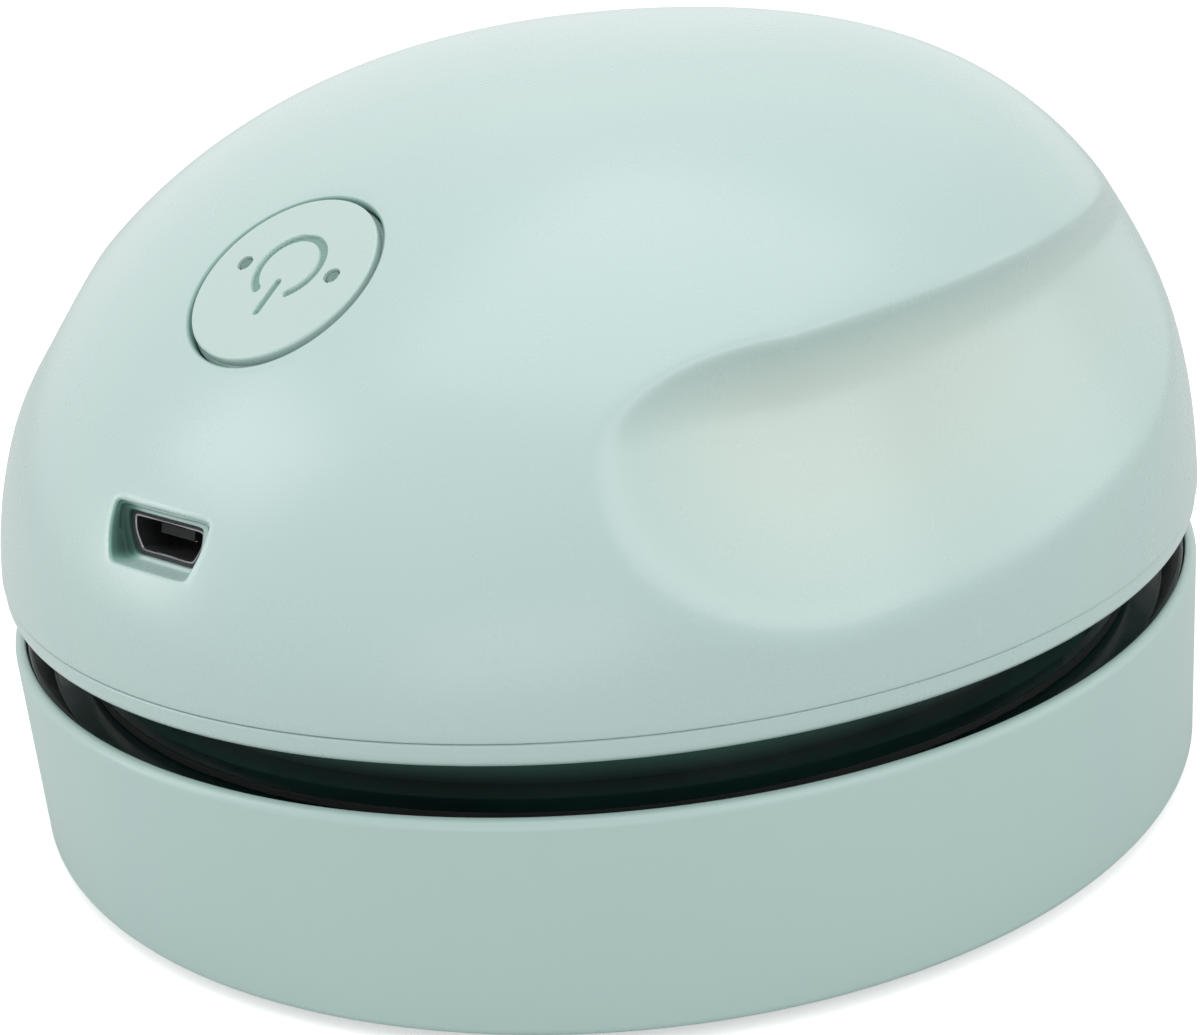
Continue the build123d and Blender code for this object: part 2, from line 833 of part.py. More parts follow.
def impeller():
    """Fan wheel: a disc above, a hub, and curved blades that hang from the disc and thin out at the rim."""
    low = impeller_bottom()
    disc_low = impeller_top - impeller_disc
    wheel = turned(
        (bush_radius, low), (hub_radius, low), (hub_radius, disc_low - 1), (hub_radius + 2, disc_low),
        (impeller_radius, disc_low), (impeller_radius, impeller_top), (bush_radius, impeller_top))
    for i in range(blade_count):
        wheel += Rot(0, 0, 360 * i / blade_count) * blade()
    trim = turned((blade_inner_radius, low - 1), (impeller_radius + 2, low - 1),
                  (impeller_radius + 2, low + blade_height * 0.4), (blade_inner_radius, low))
    rim = tube(impeller_radius + 4, impeller_radius, low - 1, impeller_top + 1)
    return wheel - trim - rim


def impeller_bush():
    """Brass insert that grips the shaft."""
    return tube(bush_radius, shaft_radius, impeller_bottom(), impeller_top - impeller_disc)


# ---------------------------------------------------------------- head: battery
def battery_place():
    """The cell's axis, across the head."""
    return Pos(0, battery_y, battery_z) * Rot(0, 90, 0)


def battery_cell():
    """Round cell that lies across the head behind the motor, with its raised contact at +X."""
    body = rod(battery_radius, -battery_length / 2, battery_length / 2 - tab_thickness * 3)
    body = fillet(body.edges(), battery_round)
    return battery_place() * (body + rod(tab_radius, 0, battery_length / 2))


def battery_tabs():
    """Welded nickel tabs on both ends of the cell."""
    outline = Rectangle(2 * tab_radius, 2 * tab_radius)
    outline -= Pos(0, -tab_radius) * Rectangle(tab_slit, tab_radius)
    tab = extrude(Plane.YZ * outline, tab_thickness / 2, both=True)
    reach = (battery_length + tab_thickness) / 2
    return solids_of([Pos(side * reach, battery_y, battery_z) * tab for side in (-1, 1)])


# ---------------------------------------------------------------- head: electronics
def usb_socket():
    """Folded metal shell of the charging socket, with lips that flare out at its mouth."""
    outer = port_outline(0, 0)
    inner = offset(port_outline(0, 0), -socket_metal, kind=Kind.INTERSECTION)
    shell = extrude(outer - inner, -socket_depth)
    shell += Pos(0, 0, -socket_depth) * extrude(outer, socket_metal)
    return port_frame * Pos(0, 0, -socket_stand) * shell


def usb_tongue():
    """Contact tongue that stands in the socket."""
    width = port_narrow - 2 * socket_metal - 2 * tongue_margin
    tongue = Box(width, tongue_height, tongue_length, align=STAND)
    return port_frame * Pos(0, tongue_height / 2 + socket_metal / 2, socket_back) * tongue


def usb_contacts():
    """Flat contacts along the tongue's underside."""
    pin = Box(contact_width, contact_thickness, contact_length, align=STAND)
    drop = (socket_metal - contact_thickness) / 2
    first = -(contact_count - 1) / 2 * contact_pitch
    return solids_of([port_frame * Pos(first + i * contact_pitch, drop, socket_back) * pin
                      for i in range(contact_count)])


def board_frame():
    """The main board's frame: X across it, Y in from the socket's mouth, Z out of its upper face."""
    return port_frame.location * Rot(-90, 0, 0)


def board_block(x, depth, width, length, height):
    """A component on the main board: its middle from side to side and in from the mouth, and its size."""
    return board_frame() * Pos(x, depth, board_top) * Box(width, length, height, align=STAND)


def main_board():
    """Charging board under the socket, tilted with it, on two posts."""
    middle = main_board_setback + main_board_length / 2
    plate = Box(main_board_width, main_board_length, board_thickness, align=STAND)
    plate = board_frame() * Pos(0, middle, board_bottom) * plate
    for place in main_screw_frames():
        plate -= place * rod(screw_radius + pass_clearance, board_bottom - 1, board_top + 1)
    return plate


def board_components():
    """Charger chip, power switch chip and coil behind the socket, and a capacitor on each side of it."""
    left = -(component_gap + charger_width) / 2
    right = (component_gap + coil_width) / 2
    edge = main_board_end - component_edge
    coil_depth = edge - coil_length / 2
    driver_depth = coil_depth - (coil_length + driver_size) / 2 - component_gap
    parts = [board_block(left, edge - charger_length / 2, charger_width, charger_length, charger_height)]
    parts.append(board_block(right, driver_depth, driver_size, driver_size, driver_height))
    parts.append(board_block(right, coil_depth, coil_width, coil_length, coil_height))
    outer = port_width / 2 + component_gap + capacitor_width
    front = main_board_setback + component_gap + capacitor_length / 2
    for x in (-outer, outer):
        parts.append(board_block(x, front, capacitor_width, capacitor_length, capacitor_height))
    return solids_of(parts)


def main_board_screws():
    """Two screws down through the main board into its posts."""
    down = screw(short_screw)
    down = Pos(0, 0, board_top) * Rot(180, 0, 0) * down
    return solids_of([place * down for place in main_screw_frames()])


def switch_board():
    """Small board under the button, square to its axis."""
    plate = Box(switch_board_length, switch_board_width, board_thickness, align=HANG)
    plate = button_frame * Pos(0, 0, switch_bottom) * plate
    for place in switch_screw_places():
        plate -= place * rod(screw_radius + pass_clearance, switch_bottom - 3, switch_bottom + 1)
    return plate


def tact_switch():
    """Push switch on the small board, open above for its plunger."""
    body = Pos(0, 0, switch_bottom) * Box(switch_width, switch_width, switch_height, align=STAND)
    body = chamfer(body.edges().filter_by(Axis.Z), 0.5)
    well = rod(plunger_radius + slip, plunger_bottom - button_travel - slip, switch_top + 1)
    return button_frame * (body - well)


def status_leds():
    """Two lamps on the small board, under the button's light pipes."""
    lamp = Pos(0, 0, switch_bottom) * Box(led_width, led_length, led_height, align=STAND)
    return solids_of([button_frame * place * lamp for place in light_places()])


def switch_board_screws():
    """Two screws from under the small board into the dome's posts."""
    up = Pos(0, 0, switch_bottom - board_thickness) * screw(short_screw)
    return solids_of([place * up for place in switch_screw_places()])


# ---------------------------------------------------------------- leads
def lead(*points):
    """An insulated wire: straight runs joined by arcs, each as wide as its two runs allow."""
    points = [Vector(*point) for point in points]
    bends = []
    for before, corner, after in zip(points, points[1:], points[2:]):
        half_turn = math.radians((corner - before).get_angle(after - corner) / 2)
        run = min((corner - before).length, (after - corner).length)
        bends.append(lead_bend * run / math.tan(half_turn))
    path = FilletPolyline(*points, radius=bends)
    return sweep(Plane(origin=path @ 0, z_dir=path % 0) * Circle(lead_radius), path=path)


def lead_end(x):
    """Where a lead is soldered to the main board, near its inner edge."""
    place = board_frame() * Pos(x, main_board_end - lead_overlap, board_top + lead_radius + slip)
    return place.position


def solder_row():
    """How far the motor's and the battery's solder joints lie from the board's middle, beside the coil."""
    first = component_gap / 2 + coil_width + 2 * slip + lead_radius
    return first, first + 2 * lead_radius + 3 * slip


def battery_lead(side):
    """From the tab on the cell's end, round the motor, to the main board."""
    x = battery_length / 2 + tab_thickness + lead_radius + slip
    low = roof_top + 2 * lead_radius + pass_clearance
    level = motor_bottom + lead_radius
    front = lead_end(side * solder_row()[1])
    return lead((side * x, battery_y, battery_z + tab_radius / 2), (side * x, battery_y, level),
                (side * (x + motor_radius) / 2, -lead_side_turn, low), front)


def motor_lead(side):
    """From the motor's terminal over the end cap and down beside the can to the main board."""
    x = motor_screw_circle + terminal_thickness / 2 + lead_radius + slip
    high = motor_top + terminal_height - terminal_width / 2
    beside = -math.sqrt(motor_radius ** 2 - x ** 2) - 2 * lead_radius - 2 * free
    front = lead_end(side * solder_row()[0])
    low = motor_bottom + motor_radius / 3
    return lead((side * x, 0, high), (side * x, beside, high), (side * x, beside, low), front)


def switch_lead(side):
    """From under the switch board, round the main board's screw, to the main board's side."""
    x = main_board_width / 2 - lead_radius - slip
    drop = switch_bottom - board_thickness - slip
    start = button_frame.location * Pos(side * switch_width, -lead_overlap, drop)
    corner = button_frame.location * Pos(side * switch_width, -lead_overlap, drop - screw_head_height * 2)
    turn = board_frame() * Pos(side * x, main_board_end + 2 * lead_overlap, board_top + lead_rise)
    end = board_frame() * Pos(side * x, main_screw_depth - lead_overlap, board_top + lead_radius + slip)
    return lead(start.position, corner.position, turn.position, end.position)


def positive_leads():
    """The red wires on the +X side, of the battery and of the motor."""
    return solids_of([battery_lead(1), motor_lead(1)])


def negative_leads():
    """The black wires on the -X side, of the battery and of the motor."""
    return solids_of([battery_lead(-1), motor_lead(-1)])


def switch_leads():
    """The two white wires between the boards."""
    return solids_of([switch_lead(side) for side in (-1, 1)])


# ---------------------------------------------------------------- button
def light_places():
    """Where the light pipes stand in the button."""
    return [Pos(side * light_spacing / 2, light_shift, 0) for side in (-1, 1)]


def symbol_cut():
    """The power mark: a ring that is open towards the nose, and a short line in the opening."""
    half = math.radians(symbol_open_angle / 2)
    reach = 4 * symbol_radius
    opening = Polygon((0, 0), (-reach * math.sin(half), -reach * math.cos(half)),
                      (reach * math.sin(half), -reach * math.cos(half)), align=None)
    mark = Circle(symbol_radius + symbol_line / 2) - Circle(symbol_radius - symbol_line / 2) - opening
    line = SlotOverall(symbol_radius * 1.3, symbol_line, rotation=90)
    mark += Pos(0, -symbol_radius - symbol_shift / 2) * line
    return extrude(Pos(0, symbol_shift, -symbol_depth) * mark, 1)


def power_button():
    """Round cap with an engraved mark, a skirt that runs in the sleeve, a stop flange and a stem."""
    inner = button_radius - button_skirt
    low = flange_top - flange_thickness
    lip = button_radius + flange_lip
    cap = turned((0, -button_face), (inner, -button_face), (inner, low), (lip, low), (lip, flange_top),
                 (button_radius, flange_top), (button_radius, 0), (0, 0))
    cap = fillet(rims(cap, button_radius, -slip, slip), button_round)
    cap += rod(stem_radius, stem_bottom, -button_face)
    for place in light_places():
        cap -= place * rod(light_radius, -button_face - 1, 1)
    return button_frame * (cap - symbol_cut())


def light_pipes():
    """Two clear rods that carry the lamps' light to the button's face."""
    pipe = rod(light_radius, switch_bottom + led_height + button_travel + 2 * slip, 0)
    return solids_of([button_frame * place * pipe for place in light_places()])


def switch_plunger():
    """The push switch's plunger, under the button's stem."""
    return button_frame * rod(plunger_radius, plunger_bottom, stem_bottom)


# ---------------------------------------------------------------- filter
def filter_frame():
    """Round cartridge with four spokes, a hub and a pull tab, grooved for its seal."""
    seal_low = filter_top - seal_height * 1.6
    groove = filter_radius - seal_bite
    frame = turned(
        (media_radius, filter_bottom), (filter_radius, filter_bottom), (filter_radius, seal_low),
        (groove, seal_low), (groove, seal_low + seal_height), (filter_radius, seal_low + seal_height),
        (filter_radius, filter_top), (media_radius, filter_top))
    spoke_top = filter_bottom + filter_spoke_height
    frame += rod(filter_hub_radius, filter_bottom, spoke_top)
    for turn in (0, 90):
        bar = Box(2 * media_radius + filter_wall, filter_spoke, filter_spoke_height, align=STAND)
        frame += Rot(0, 0, turn) * Pos(0, 0, filter_bottom) * bar
    tab = Pos(0, 0, filter_bottom) * Box(pull_tab_length, filter_spoke, pull_tab_height, align=HANG)
    tab = fillet(tab.edges().filter_by(Axis.Y).group_by(Axis.Z)[0], pull_tab_height * 0.7)
    return frame + tab


def filter_seal():
    """Soft ring in the cartridge's groove."""
    seal_low = filter_top - seal_height * 1.6
    return tube(collar_inside - slip, filter_radius - seal_bite, seal_low, seal_low + seal_height)


def filter_media():
    """Pleated paper on the cartridge's spokes: one zigzag sheet, trimmed round."""
    low = filter_bottom + filter_spoke_height
    count = 2 * int(media_radius / pleat_pitch) + 2
    start = -count * pleat_pitch / 2
    high = low + pleat_height - pleat_thickness
    points = [(start + i * pleat_pitch / 2, high if i % 2 else low) for i in range(2 * count + 1)]
    upper = [(x, z + pleat_thickness) for x, z in reversed(points)]
    sheet = Plane.XZ.offset(-body_radius) * Polygon(*points, *upper, align=None)
    sheet = extrude(sheet, 2 * body_radius)
    return sheet & rod(media_radius - slip, low, low + pleat_height)


def filter_mesh():
    """Fine mesh disc over the pleats."""
    low = filter_bottom + filter_spoke_height + pleat_height
    return rod(media_radius, low, low + mesh_height)


# ---------------------------------------------------------------- all pieces
pieces = {
    "dust_cup": dust_cup,
    "brush_strips": brush_strips,
    "glide_feet": glide_feet,
    "lid_ring": lid_ring,
    "seal_gasket": seal_gasket,
    "upper_shell": upper_shell,
    "lower_housing": lower_housing,
    "exhaust_collar": exhaust_collar,
    "housing_screws": housing_screws,
    "collar_screws": collar_screws,
    "motor_can": motor_can,
    "motor_end_bell": motor_end_bell,
    "motor_bearings": motor_bearings,
    "motor_magnets": motor_magnets,
    "motor_brushes": motor_brushes,
    "motor_terminals": motor_terminals,
    "motor_damper": motor_damper,
    "motor_screws": motor_screws,
    "motor_shaft": motor_shaft,
    "armature_core": armature_core,
    "windings": windings,
    "commutator": commutator,
    "impeller": impeller,
    "impeller_bush": impeller_bush,
    "battery_cell": battery_cell,
    "battery_tabs": battery_tabs,
    "usb_socket": usb_socket,
    "usb_tongue": usb_tongue,
    "usb_contacts": usb_contacts,
    "main_board": main_board,
    "board_components": board_components,
    "main_board_screws": main_board_screws,
    "switch_board": switch_board,
    "tact_switch": tact_switch,
    "status_leds": status_leds,
    "switch_board_screws": switch_board_screws,
    "positive_leads": positive_leads,
    "negative_leads": negative_leads,
    "switch_leads": switch_leads,
    "power_button": power_button,
    "light_pipes": light_pipes,
    "switch_plunger": switch_plunger,
    "filter_frame": filter_frame,
    "filter_seal": filter_seal,
    "filter_media": filter_media,
    "filter_mesh": filter_mesh,
}

os.makedirs("parts", exist_ok=True)
for name, make in pieces.items():
    export_step(make(), "parts/" + name + ".step")
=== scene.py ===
"""Looks of a desktop mini vacuum cleaner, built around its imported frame.

Lengths are in millimetres until a mesh is made. The nose, with the button and the socket, points to -Y.
"""
import json
import math

import bmesh
import bpy
import numpy as np
from mathutils import Matrix, Vector


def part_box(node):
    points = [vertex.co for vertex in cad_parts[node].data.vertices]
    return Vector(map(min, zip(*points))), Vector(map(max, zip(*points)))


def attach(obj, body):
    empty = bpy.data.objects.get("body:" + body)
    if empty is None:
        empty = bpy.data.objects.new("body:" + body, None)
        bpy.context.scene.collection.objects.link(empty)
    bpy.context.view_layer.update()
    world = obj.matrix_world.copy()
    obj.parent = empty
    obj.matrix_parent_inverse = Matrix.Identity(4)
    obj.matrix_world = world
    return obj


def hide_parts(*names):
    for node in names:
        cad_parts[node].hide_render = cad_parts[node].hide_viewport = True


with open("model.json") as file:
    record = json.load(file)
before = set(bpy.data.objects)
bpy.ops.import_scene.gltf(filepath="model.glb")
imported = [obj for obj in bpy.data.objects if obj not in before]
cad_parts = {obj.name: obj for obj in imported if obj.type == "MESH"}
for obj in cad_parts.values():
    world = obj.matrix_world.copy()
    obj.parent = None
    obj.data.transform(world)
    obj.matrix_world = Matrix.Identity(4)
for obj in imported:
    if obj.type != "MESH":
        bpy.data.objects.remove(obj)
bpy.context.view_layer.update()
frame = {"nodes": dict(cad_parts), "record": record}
MM = 0.001
weld_reach = 2e-6
speck_size = 1e-7


def node_box(node):
    """Lowest and highest corner of a CAD node, in millimetres."""
    low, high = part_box(node)
    return np.array(low) / MM, np.array(high) / MM


# ---------------------------------------------------------------- sizes taken from the frame
cup_low, cup_high = node_box("dust_cup")
shell_low, shell_high = node_box("upper_shell")
floor_low, floor_high = node_box("lower_housing")
lid_low, lid_high = node_box("lid_ring")

body_radius = cup_high[0]
cup_bottom = cup_low[2]
cup_top = cup_high[2]
head_bottom = floor_low[2]
parting = shell_low[2]
band_radius = floor_high[0]

# ---------------------------------------------------------------- sizes that the frame's boxes don't give
cup_wall = 2.0
cup_floor = 2.0
rim_round = 0.65
rim_inside = body_radius - 0.85
cup_foot_round = 0.8
slot_length = 46.0
slot_width = 10.0
chimney_wall = 1.6
chimney_height = 3.2
chimney_foot = 0.6
slot_edge = 0.4
floor_margin = 1.5
ledge_width = 1.6
ledge_height = 1.0
step_rise = 1.3
lid_mouth = 40.35
lid_clear = 0.1
trim_clear = 0.06
trim_inset = 0.4
trim_drop = 0.3
band_round = 1.02
seam_ease = 0.16
band_out = 0.03
band_sink = 0.02
band_foot = 2.4
band_wall = 0.6
foot_radius = 3.5
foot_inset = 10.0
foot_edge = 0.3
foot_ring_depth = 0.12
brush_offset = 10.5
brush_width = 3.0
brush_clear = 0.1
bar_edge = 0.15
bar_power = 0.2
tuft_pitch = 2.2
tuft_radius = 0.62
hairs = 14
hair_radius = 0.09
golden_turn = 2.4

dome_cap = 0.08
dome_cap_power = 12
top_share = 0.9999
halvings = 36
dome_wall = 2.0
dome_power = 2.51
dome_along_power = 2.45
dome_nose_power = 1.68
apex_shift = 9.45
apex_shift_power = 2.57
dome_height = shell_high[2] + dome_cap - head_bottom
grip_angle = 61.0
grip_front_angle = 18.5
grip_tail_angle = 62.0
grip_rise = 17.2
grip_climb = 0.075
grip_above = 5.2
grip_below = 10.6
grip_depth = 4.3
grip_crisp = 0.3
grip_soft = 0.34

button_rise = 25.93
button_sink = 0.25
button_radius = 7.2
button_gap = 0.35
sleeve_depth = 5.9
sleeve_wall = 1.5

port_rise = 11.4
port_tilt = 15.0
port_recess = 1.2
port_width = 7.3
port_narrow = 5.5
port_shoulder = 0.1
port_height = 2.6
port_border = 0.85
port_border_height = 0.45
port_flare = 0.17
port_pad = 1.6
port_clear = 0.14
port_floor_round = 0.15
port_cut_round = 0.12
pad_clear = 0.1
corner_power = 18

boss_radius = 3.0
boss_depth = 8.0
boss_seat = parting + 2.0
# Turns from the nose in degrees, and insets from the body's edge.
boss_places = ((33, 11), (-33, 11), (152, 9), (-152, 9))
post_radius = 2.0
post_depth = 4.8
post_offset = 11.0
post_edge = 0.2
screw_hole = 1.0


# ---------------------------------------------------------------- meshes
class Skin:
    """Collects grids of points and the faces between them, and welds them into one mesh."""

    def __init__(self):
        self.points = []
        self.faces = []
        self.marks = []
        self.count = 0

    def grid(self, points, flip=False, keep=None, mark=None):
        """Quads over rows of points, or over many such grids at once, each row joined to its own start.

        keep says which cells get a quad, and mark is the number that each point carries.
        """
        points = np.asarray(points)
        shape = points.shape[:-1]
        index = np.arange(math.prod(shape)).reshape(shape) + self.count
        self.points.append(points.reshape(-1, 3))
        self.marks.append(np.zeros(index.size) if mark is None else mark.reshape(-1))
        self.count += index.size
        index = np.concatenate([index, index[..., :1]], axis=-1)
        lower, upper = index[..., :-1, :], index[..., 1:, :]
        quads = np.stack([lower[..., :-1], lower[..., 1:], upper[..., 1:], upper[..., :-1]], axis=-1)
        if keep is not None:
            quads = quads[keep]
        quads = quads.reshape(-1, 4)
        self.faces.append(quads[:, ::-1] if flip else quads)

    def build(self, name, sharp=35.0):
        """The object: unused points left out, doubles welded, smooth except across sharp edges."""
        mesh = bpy.data.meshes.new(name)
        used, faces = np.unique(np.concatenate(self.faces), return_inverse=True)
        points = np.concatenate(self.points)[used] * MM
        mesh.from_pydata(points.tolist(), [], faces.reshape(-1, 4).tolist())
        mark = mesh.attributes.new("mark", "FLOAT", "POINT")
        mark.data.foreach_set("value", np.concatenate(self.marks)[used].astype(np.float32))
        work = bmesh.new()
        work.from_mesh(mesh)
        bmesh.ops.remove_doubles(work, verts=work.verts, dist=weld_reach)
        bmesh.ops.dissolve_degenerate(work, edges=work.edges, dist=speck_size)
        work.to_mesh(mesh)
        work.free()
        mesh.validate()
        mesh.shade_smooth()
        mesh.set_sharp_from_angle(angle=math.radians(sharp))
        piece = bpy.data.objects.new(name, mesh)
        bpy.context.scene.collection.objects.link(piece)
        return piece


def rounded(corners, steps=5):
    """A closed half section from (radius, level, round) corners: each round is an arc of a few steps."""
    outline = []
    count = len(corners)
    for i, (x, z, size) in enumerate(corners):
        here = np.array([x, z])
        if size <= 0:
            outline.append(here)
            continue
        before = np.array(corners[i - 1][:2]) - here
        after = np.array(corners[(i + 1) % count][:2]) - here
        before = before / np.linalg.norm(before)
        after = after / np.linalg.norm(after)
        half = math.acos(np.clip(before @ after, -1, 1)) / 2
        start = here + before * size / math.tan(half)
        end = here + after * size / math.tan(half)
        middle = here + (before + after) / np.linalg.norm(before + after) * size / math.sin(half)
        for t in np.linspace(0, 1, steps + 1):
            chord = (1 - t) * (start - middle) + t * (end - middle)
            outline.append(middle + chord / np.linalg.norm(chord) * size)
    return np.array(outline)


def turns_round(count):
    """Even turns round a circle, the first at nought."""
    return np.linspace(0, 2 * np.pi, count, endpoint=False)


def level_row(direction, reach, level):
    """Points round Z: the reach times the direction's cosine and sine, level kept."""
    return np.stack([reach * np.cos(direction), reach * np.sin(direction), level + 0 * direction], axis=-1)


def lathe(name, corners, segments, steps, mark=0.0):
    """A closed ring: a rounded half section, given anticlockwise, carried round Z."""
    outline = rounded(corners, steps)
    outline = np.concatenate([outline, outline[:1]])[:, :, None]
    points = level_row(turns_round(segments), outline[:, 0], outline[:, 1])
    skin = Skin()
    skin.grid(points, mark=np.full(points.shape[:2], mark))
    return skin.build(name)


def finish_piece(piece, body, slot, *replaced):
    """The calls that every new piece needs: its body, its finish and the nodes that it stands for."""
    dress(piece, slot)
    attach(piece, body)
    if replaced:
        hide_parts(*replaced)


# ---------------------------------------------------------------- the dome's form
def grip_dent(height, x, y):
    """Depth of the finger grips.

    The depth falls with the squares of the angle from the grip's middle and of the level over its middle
    line. Where it would turn negative it dies out softly: quickly at the upper crease, slowly below.
    """
    angle = np.degrees(np.arctan2(np.abs(x), -y)) - grip_angle
    reach = np.where(angle < 0, grip_front_angle, grip_tail_angle)
    level = height - grip_rise - grip_climb * np.maximum(angle, 0)
    half = np.where(level > 0, grip_above, grip_below)
    depth = grip_depth * (1 - (angle / reach) ** 2 - (level / half) ** 2)
    share = np.clip(-level / grip_below, 0, 1)
    blend = grip_crisp + (grip_soft - grip_crisp) * share * share * (3 - 2 * share)
    return blend * np.logaddexp(0, depth / blend)


def dome_ellipse(share, inset):
    """Half axes along and across of the level ellipse at a share of the height, and its middle's Y."""
    along = (body_radius - inset) * (1 - share ** dome_nose_power) ** (1 / dome_along_power)
    across = (body_radius - inset) * (1 - share ** dome_power) ** (1 / dome_power)
    return along, across, apex_shift * share ** apex_shift_power


def dome_point(height, turn, inset=0.0):
    """Points of the dome: level ellipses that shrink upwards and move to the tail, pressed in at the grips.

    The last of the height is drawn in a little, so that the dome closes at the solid's own top.
    """
    share = np.clip(height / (dome_height - inset), 0, 1)
    along, across, middle = dome_ellipse(share, inset)
    x = across * np.sin(turn)
    y = middle - along * np.cos(turn)
    radius = np.maximum(np.hypot(x, y), 1e-6)
    scale = 1 - grip_dent(height, x, y) / radius
    return np.stack([x * scale, y * scale, head_bottom + height - dome_cap * share ** dome_cap_power],
                    axis=-1)


def dome_excess(points, inset):
    """How far points lie outside the dome: their squared shares of its level ellipse added up, less one."""
    x, y = points[..., 0], points[..., 1]
    height = points[..., 2] - head_bottom
    drawn = height + dome_cap * (height / dome_height) ** dome_cap_power
    share = np.clip(drawn / (dome_height - inset), 0, top_share)
    along, across, middle = dome_ellipse(share, inset)
    scale = 1 + grip_dent(height, x, y) / np.maximum(np.hypot(x, y), 1e-6)
    return ((y * scale - middle) / along) ** 2 + (x * scale / across) ** 2 - 1


def meet_dome(seat, side, up, inset, near=-9.0, far=9.0):
    """Points of the dome straight out from places of a seat, by halving the stretch between near and far."""
    near, far = near + 0 * side, far + 0 * side
    for _ in range(halvings):
        half = (near + far) / 2
        outside = dome_excess(seat.world(side, up, half), inset) > 0
        near, far = np.where(outside, near, half), np.where(outside, half, far)
    return seat.world(side, up, near)


class Seat:
    """A plane set in the part: its middle, and the directions to the side, up it and out of it."""

    def __init__(self, middle, out):
        self.middle = np.array(middle, float)
        self.out = np.array(out, float) / np.linalg.norm(out)
        self.side = np.array([1.0, 0.0, 0.0])
        self.up = np.cross(self.out, self.side)

    def local(self, points):
        """Offsets of points to the side, up and out."""
        away = points - self.middle
        return away @ self.side, away @ self.up, away @ self.out

    def world(self, side, up, out):
        """Points at offsets to the side, up and out."""
        side, up, out = (np.asarray(a, float)[..., None] for a in np.broadcast_arrays(side, up, out))
        return self.middle + side * self.side + up * self.up + out * self.out

    def rings(self, direction, section):
        """Closed rows of points round the middle, each at a reach from it and an offset out of it."""
        side, up = np.cos(direction), np.sin(direction)
        return [self.world(reach * side, reach * up, out) for reach, out in section]


def upright_seat(turn, circle, level):
    """A level seat on a circle round Z, at a turn from the nose in degrees."""
    turn = math.radians(turn)
    return Seat((circle * math.sin(turn), -circle * math.cos(turn), level), (0, 0, 1))


def nose_line(rise):
    """Y of the dome's nose line at a height over its foot."""
    return dome_point(np.array(rise), np.array(0.0))[1]


def button_seat():
    """The button's plane: square to the nose line, a little under the surface."""
    step = 0.05
    climb = np.array([0, nose_line(button_rise + step) - nose_line(button_rise - step), 2 * step])
    out = np.cross([1.0, 0.0, 0.0], climb / np.linalg.norm(climb))
    middle = np.array([0, nose_line(button_rise), head_bottom + button_rise]) - out * button_sink
    return Seat(middle, out)


def port_seat():
    """The socket's plane: set back into the nose, facing out and a little up."""
    tilt = math.radians(port_tilt)
    return Seat((0, nose_line(port_rise) + port_recess, head_bottom + port_rise),
                (0, -math.cos(tilt), math.sin(tilt)))


button_face = 2.0
stem_length = 5.4
plunger_length = 1.6
button_travel = 0.5
switch_play = 0.1
switch_height = 3.3
switch_seat = -button_face - stem_length - plunger_length + button_travel + switch_play - switch_height
button_plane = button_seat()
port_plane = port_seat()


# ---------------------------------------------------------------- outlines seen from a seat's middle
def round_outline(radius):
    """A circle: its reach is the same in every direction."""
    return lambda direction, grow=0.0: radius + grow + 0 * direction


def sided_outline(sides):
    """A shape with flat sides and softened corners, from each side's direction and distance.

    Its reach in a direction is one over the high-power sum of the sides' shares, the cosine to the side
    over its distance, which is the nearest side everywhere but close to a corner.
    """
    def reach(direction, grow=0.0):
        total = 0
        for turn, distance in sides:
            total = total + np.maximum(np.cos(direction - turn) / (distance + grow), 0) ** corner_power
        return total ** (-1 / corner_power)
    return reach


def port_outline(side, rise):
    """The socket's outline, wide side up, grown by a border at the sides and another above and below."""
    wide, narrow, half = port_width / 2 + side, port_narrow / 2 + side, port_height / 2 + rise
    slope = math.atan2(-(wide - narrow), half * (1 + port_shoulder))
    reach = wide * math.cos(slope) + half * port_shoulder * math.sin(slope)
    return sided_outline([(math.pi / 2, half), (-math.pi / 2, half), (0, wide), (math.pi, wide),
                          (slope, reach), (math.pi - slope, reach)])


# ---------------------------------------------------------------- shader maths
def paint(red, green, blue):
    """A colour written as it looks on a screen, from 0 to 255, turned into the renderer's linear values."""
    linear = [((c / 255 + 0.055) / 1.055) ** 2.4 if c > 10 else c / 255 / 12.92 for c in (red, green, blue)]
    return (*linear, 1.0)


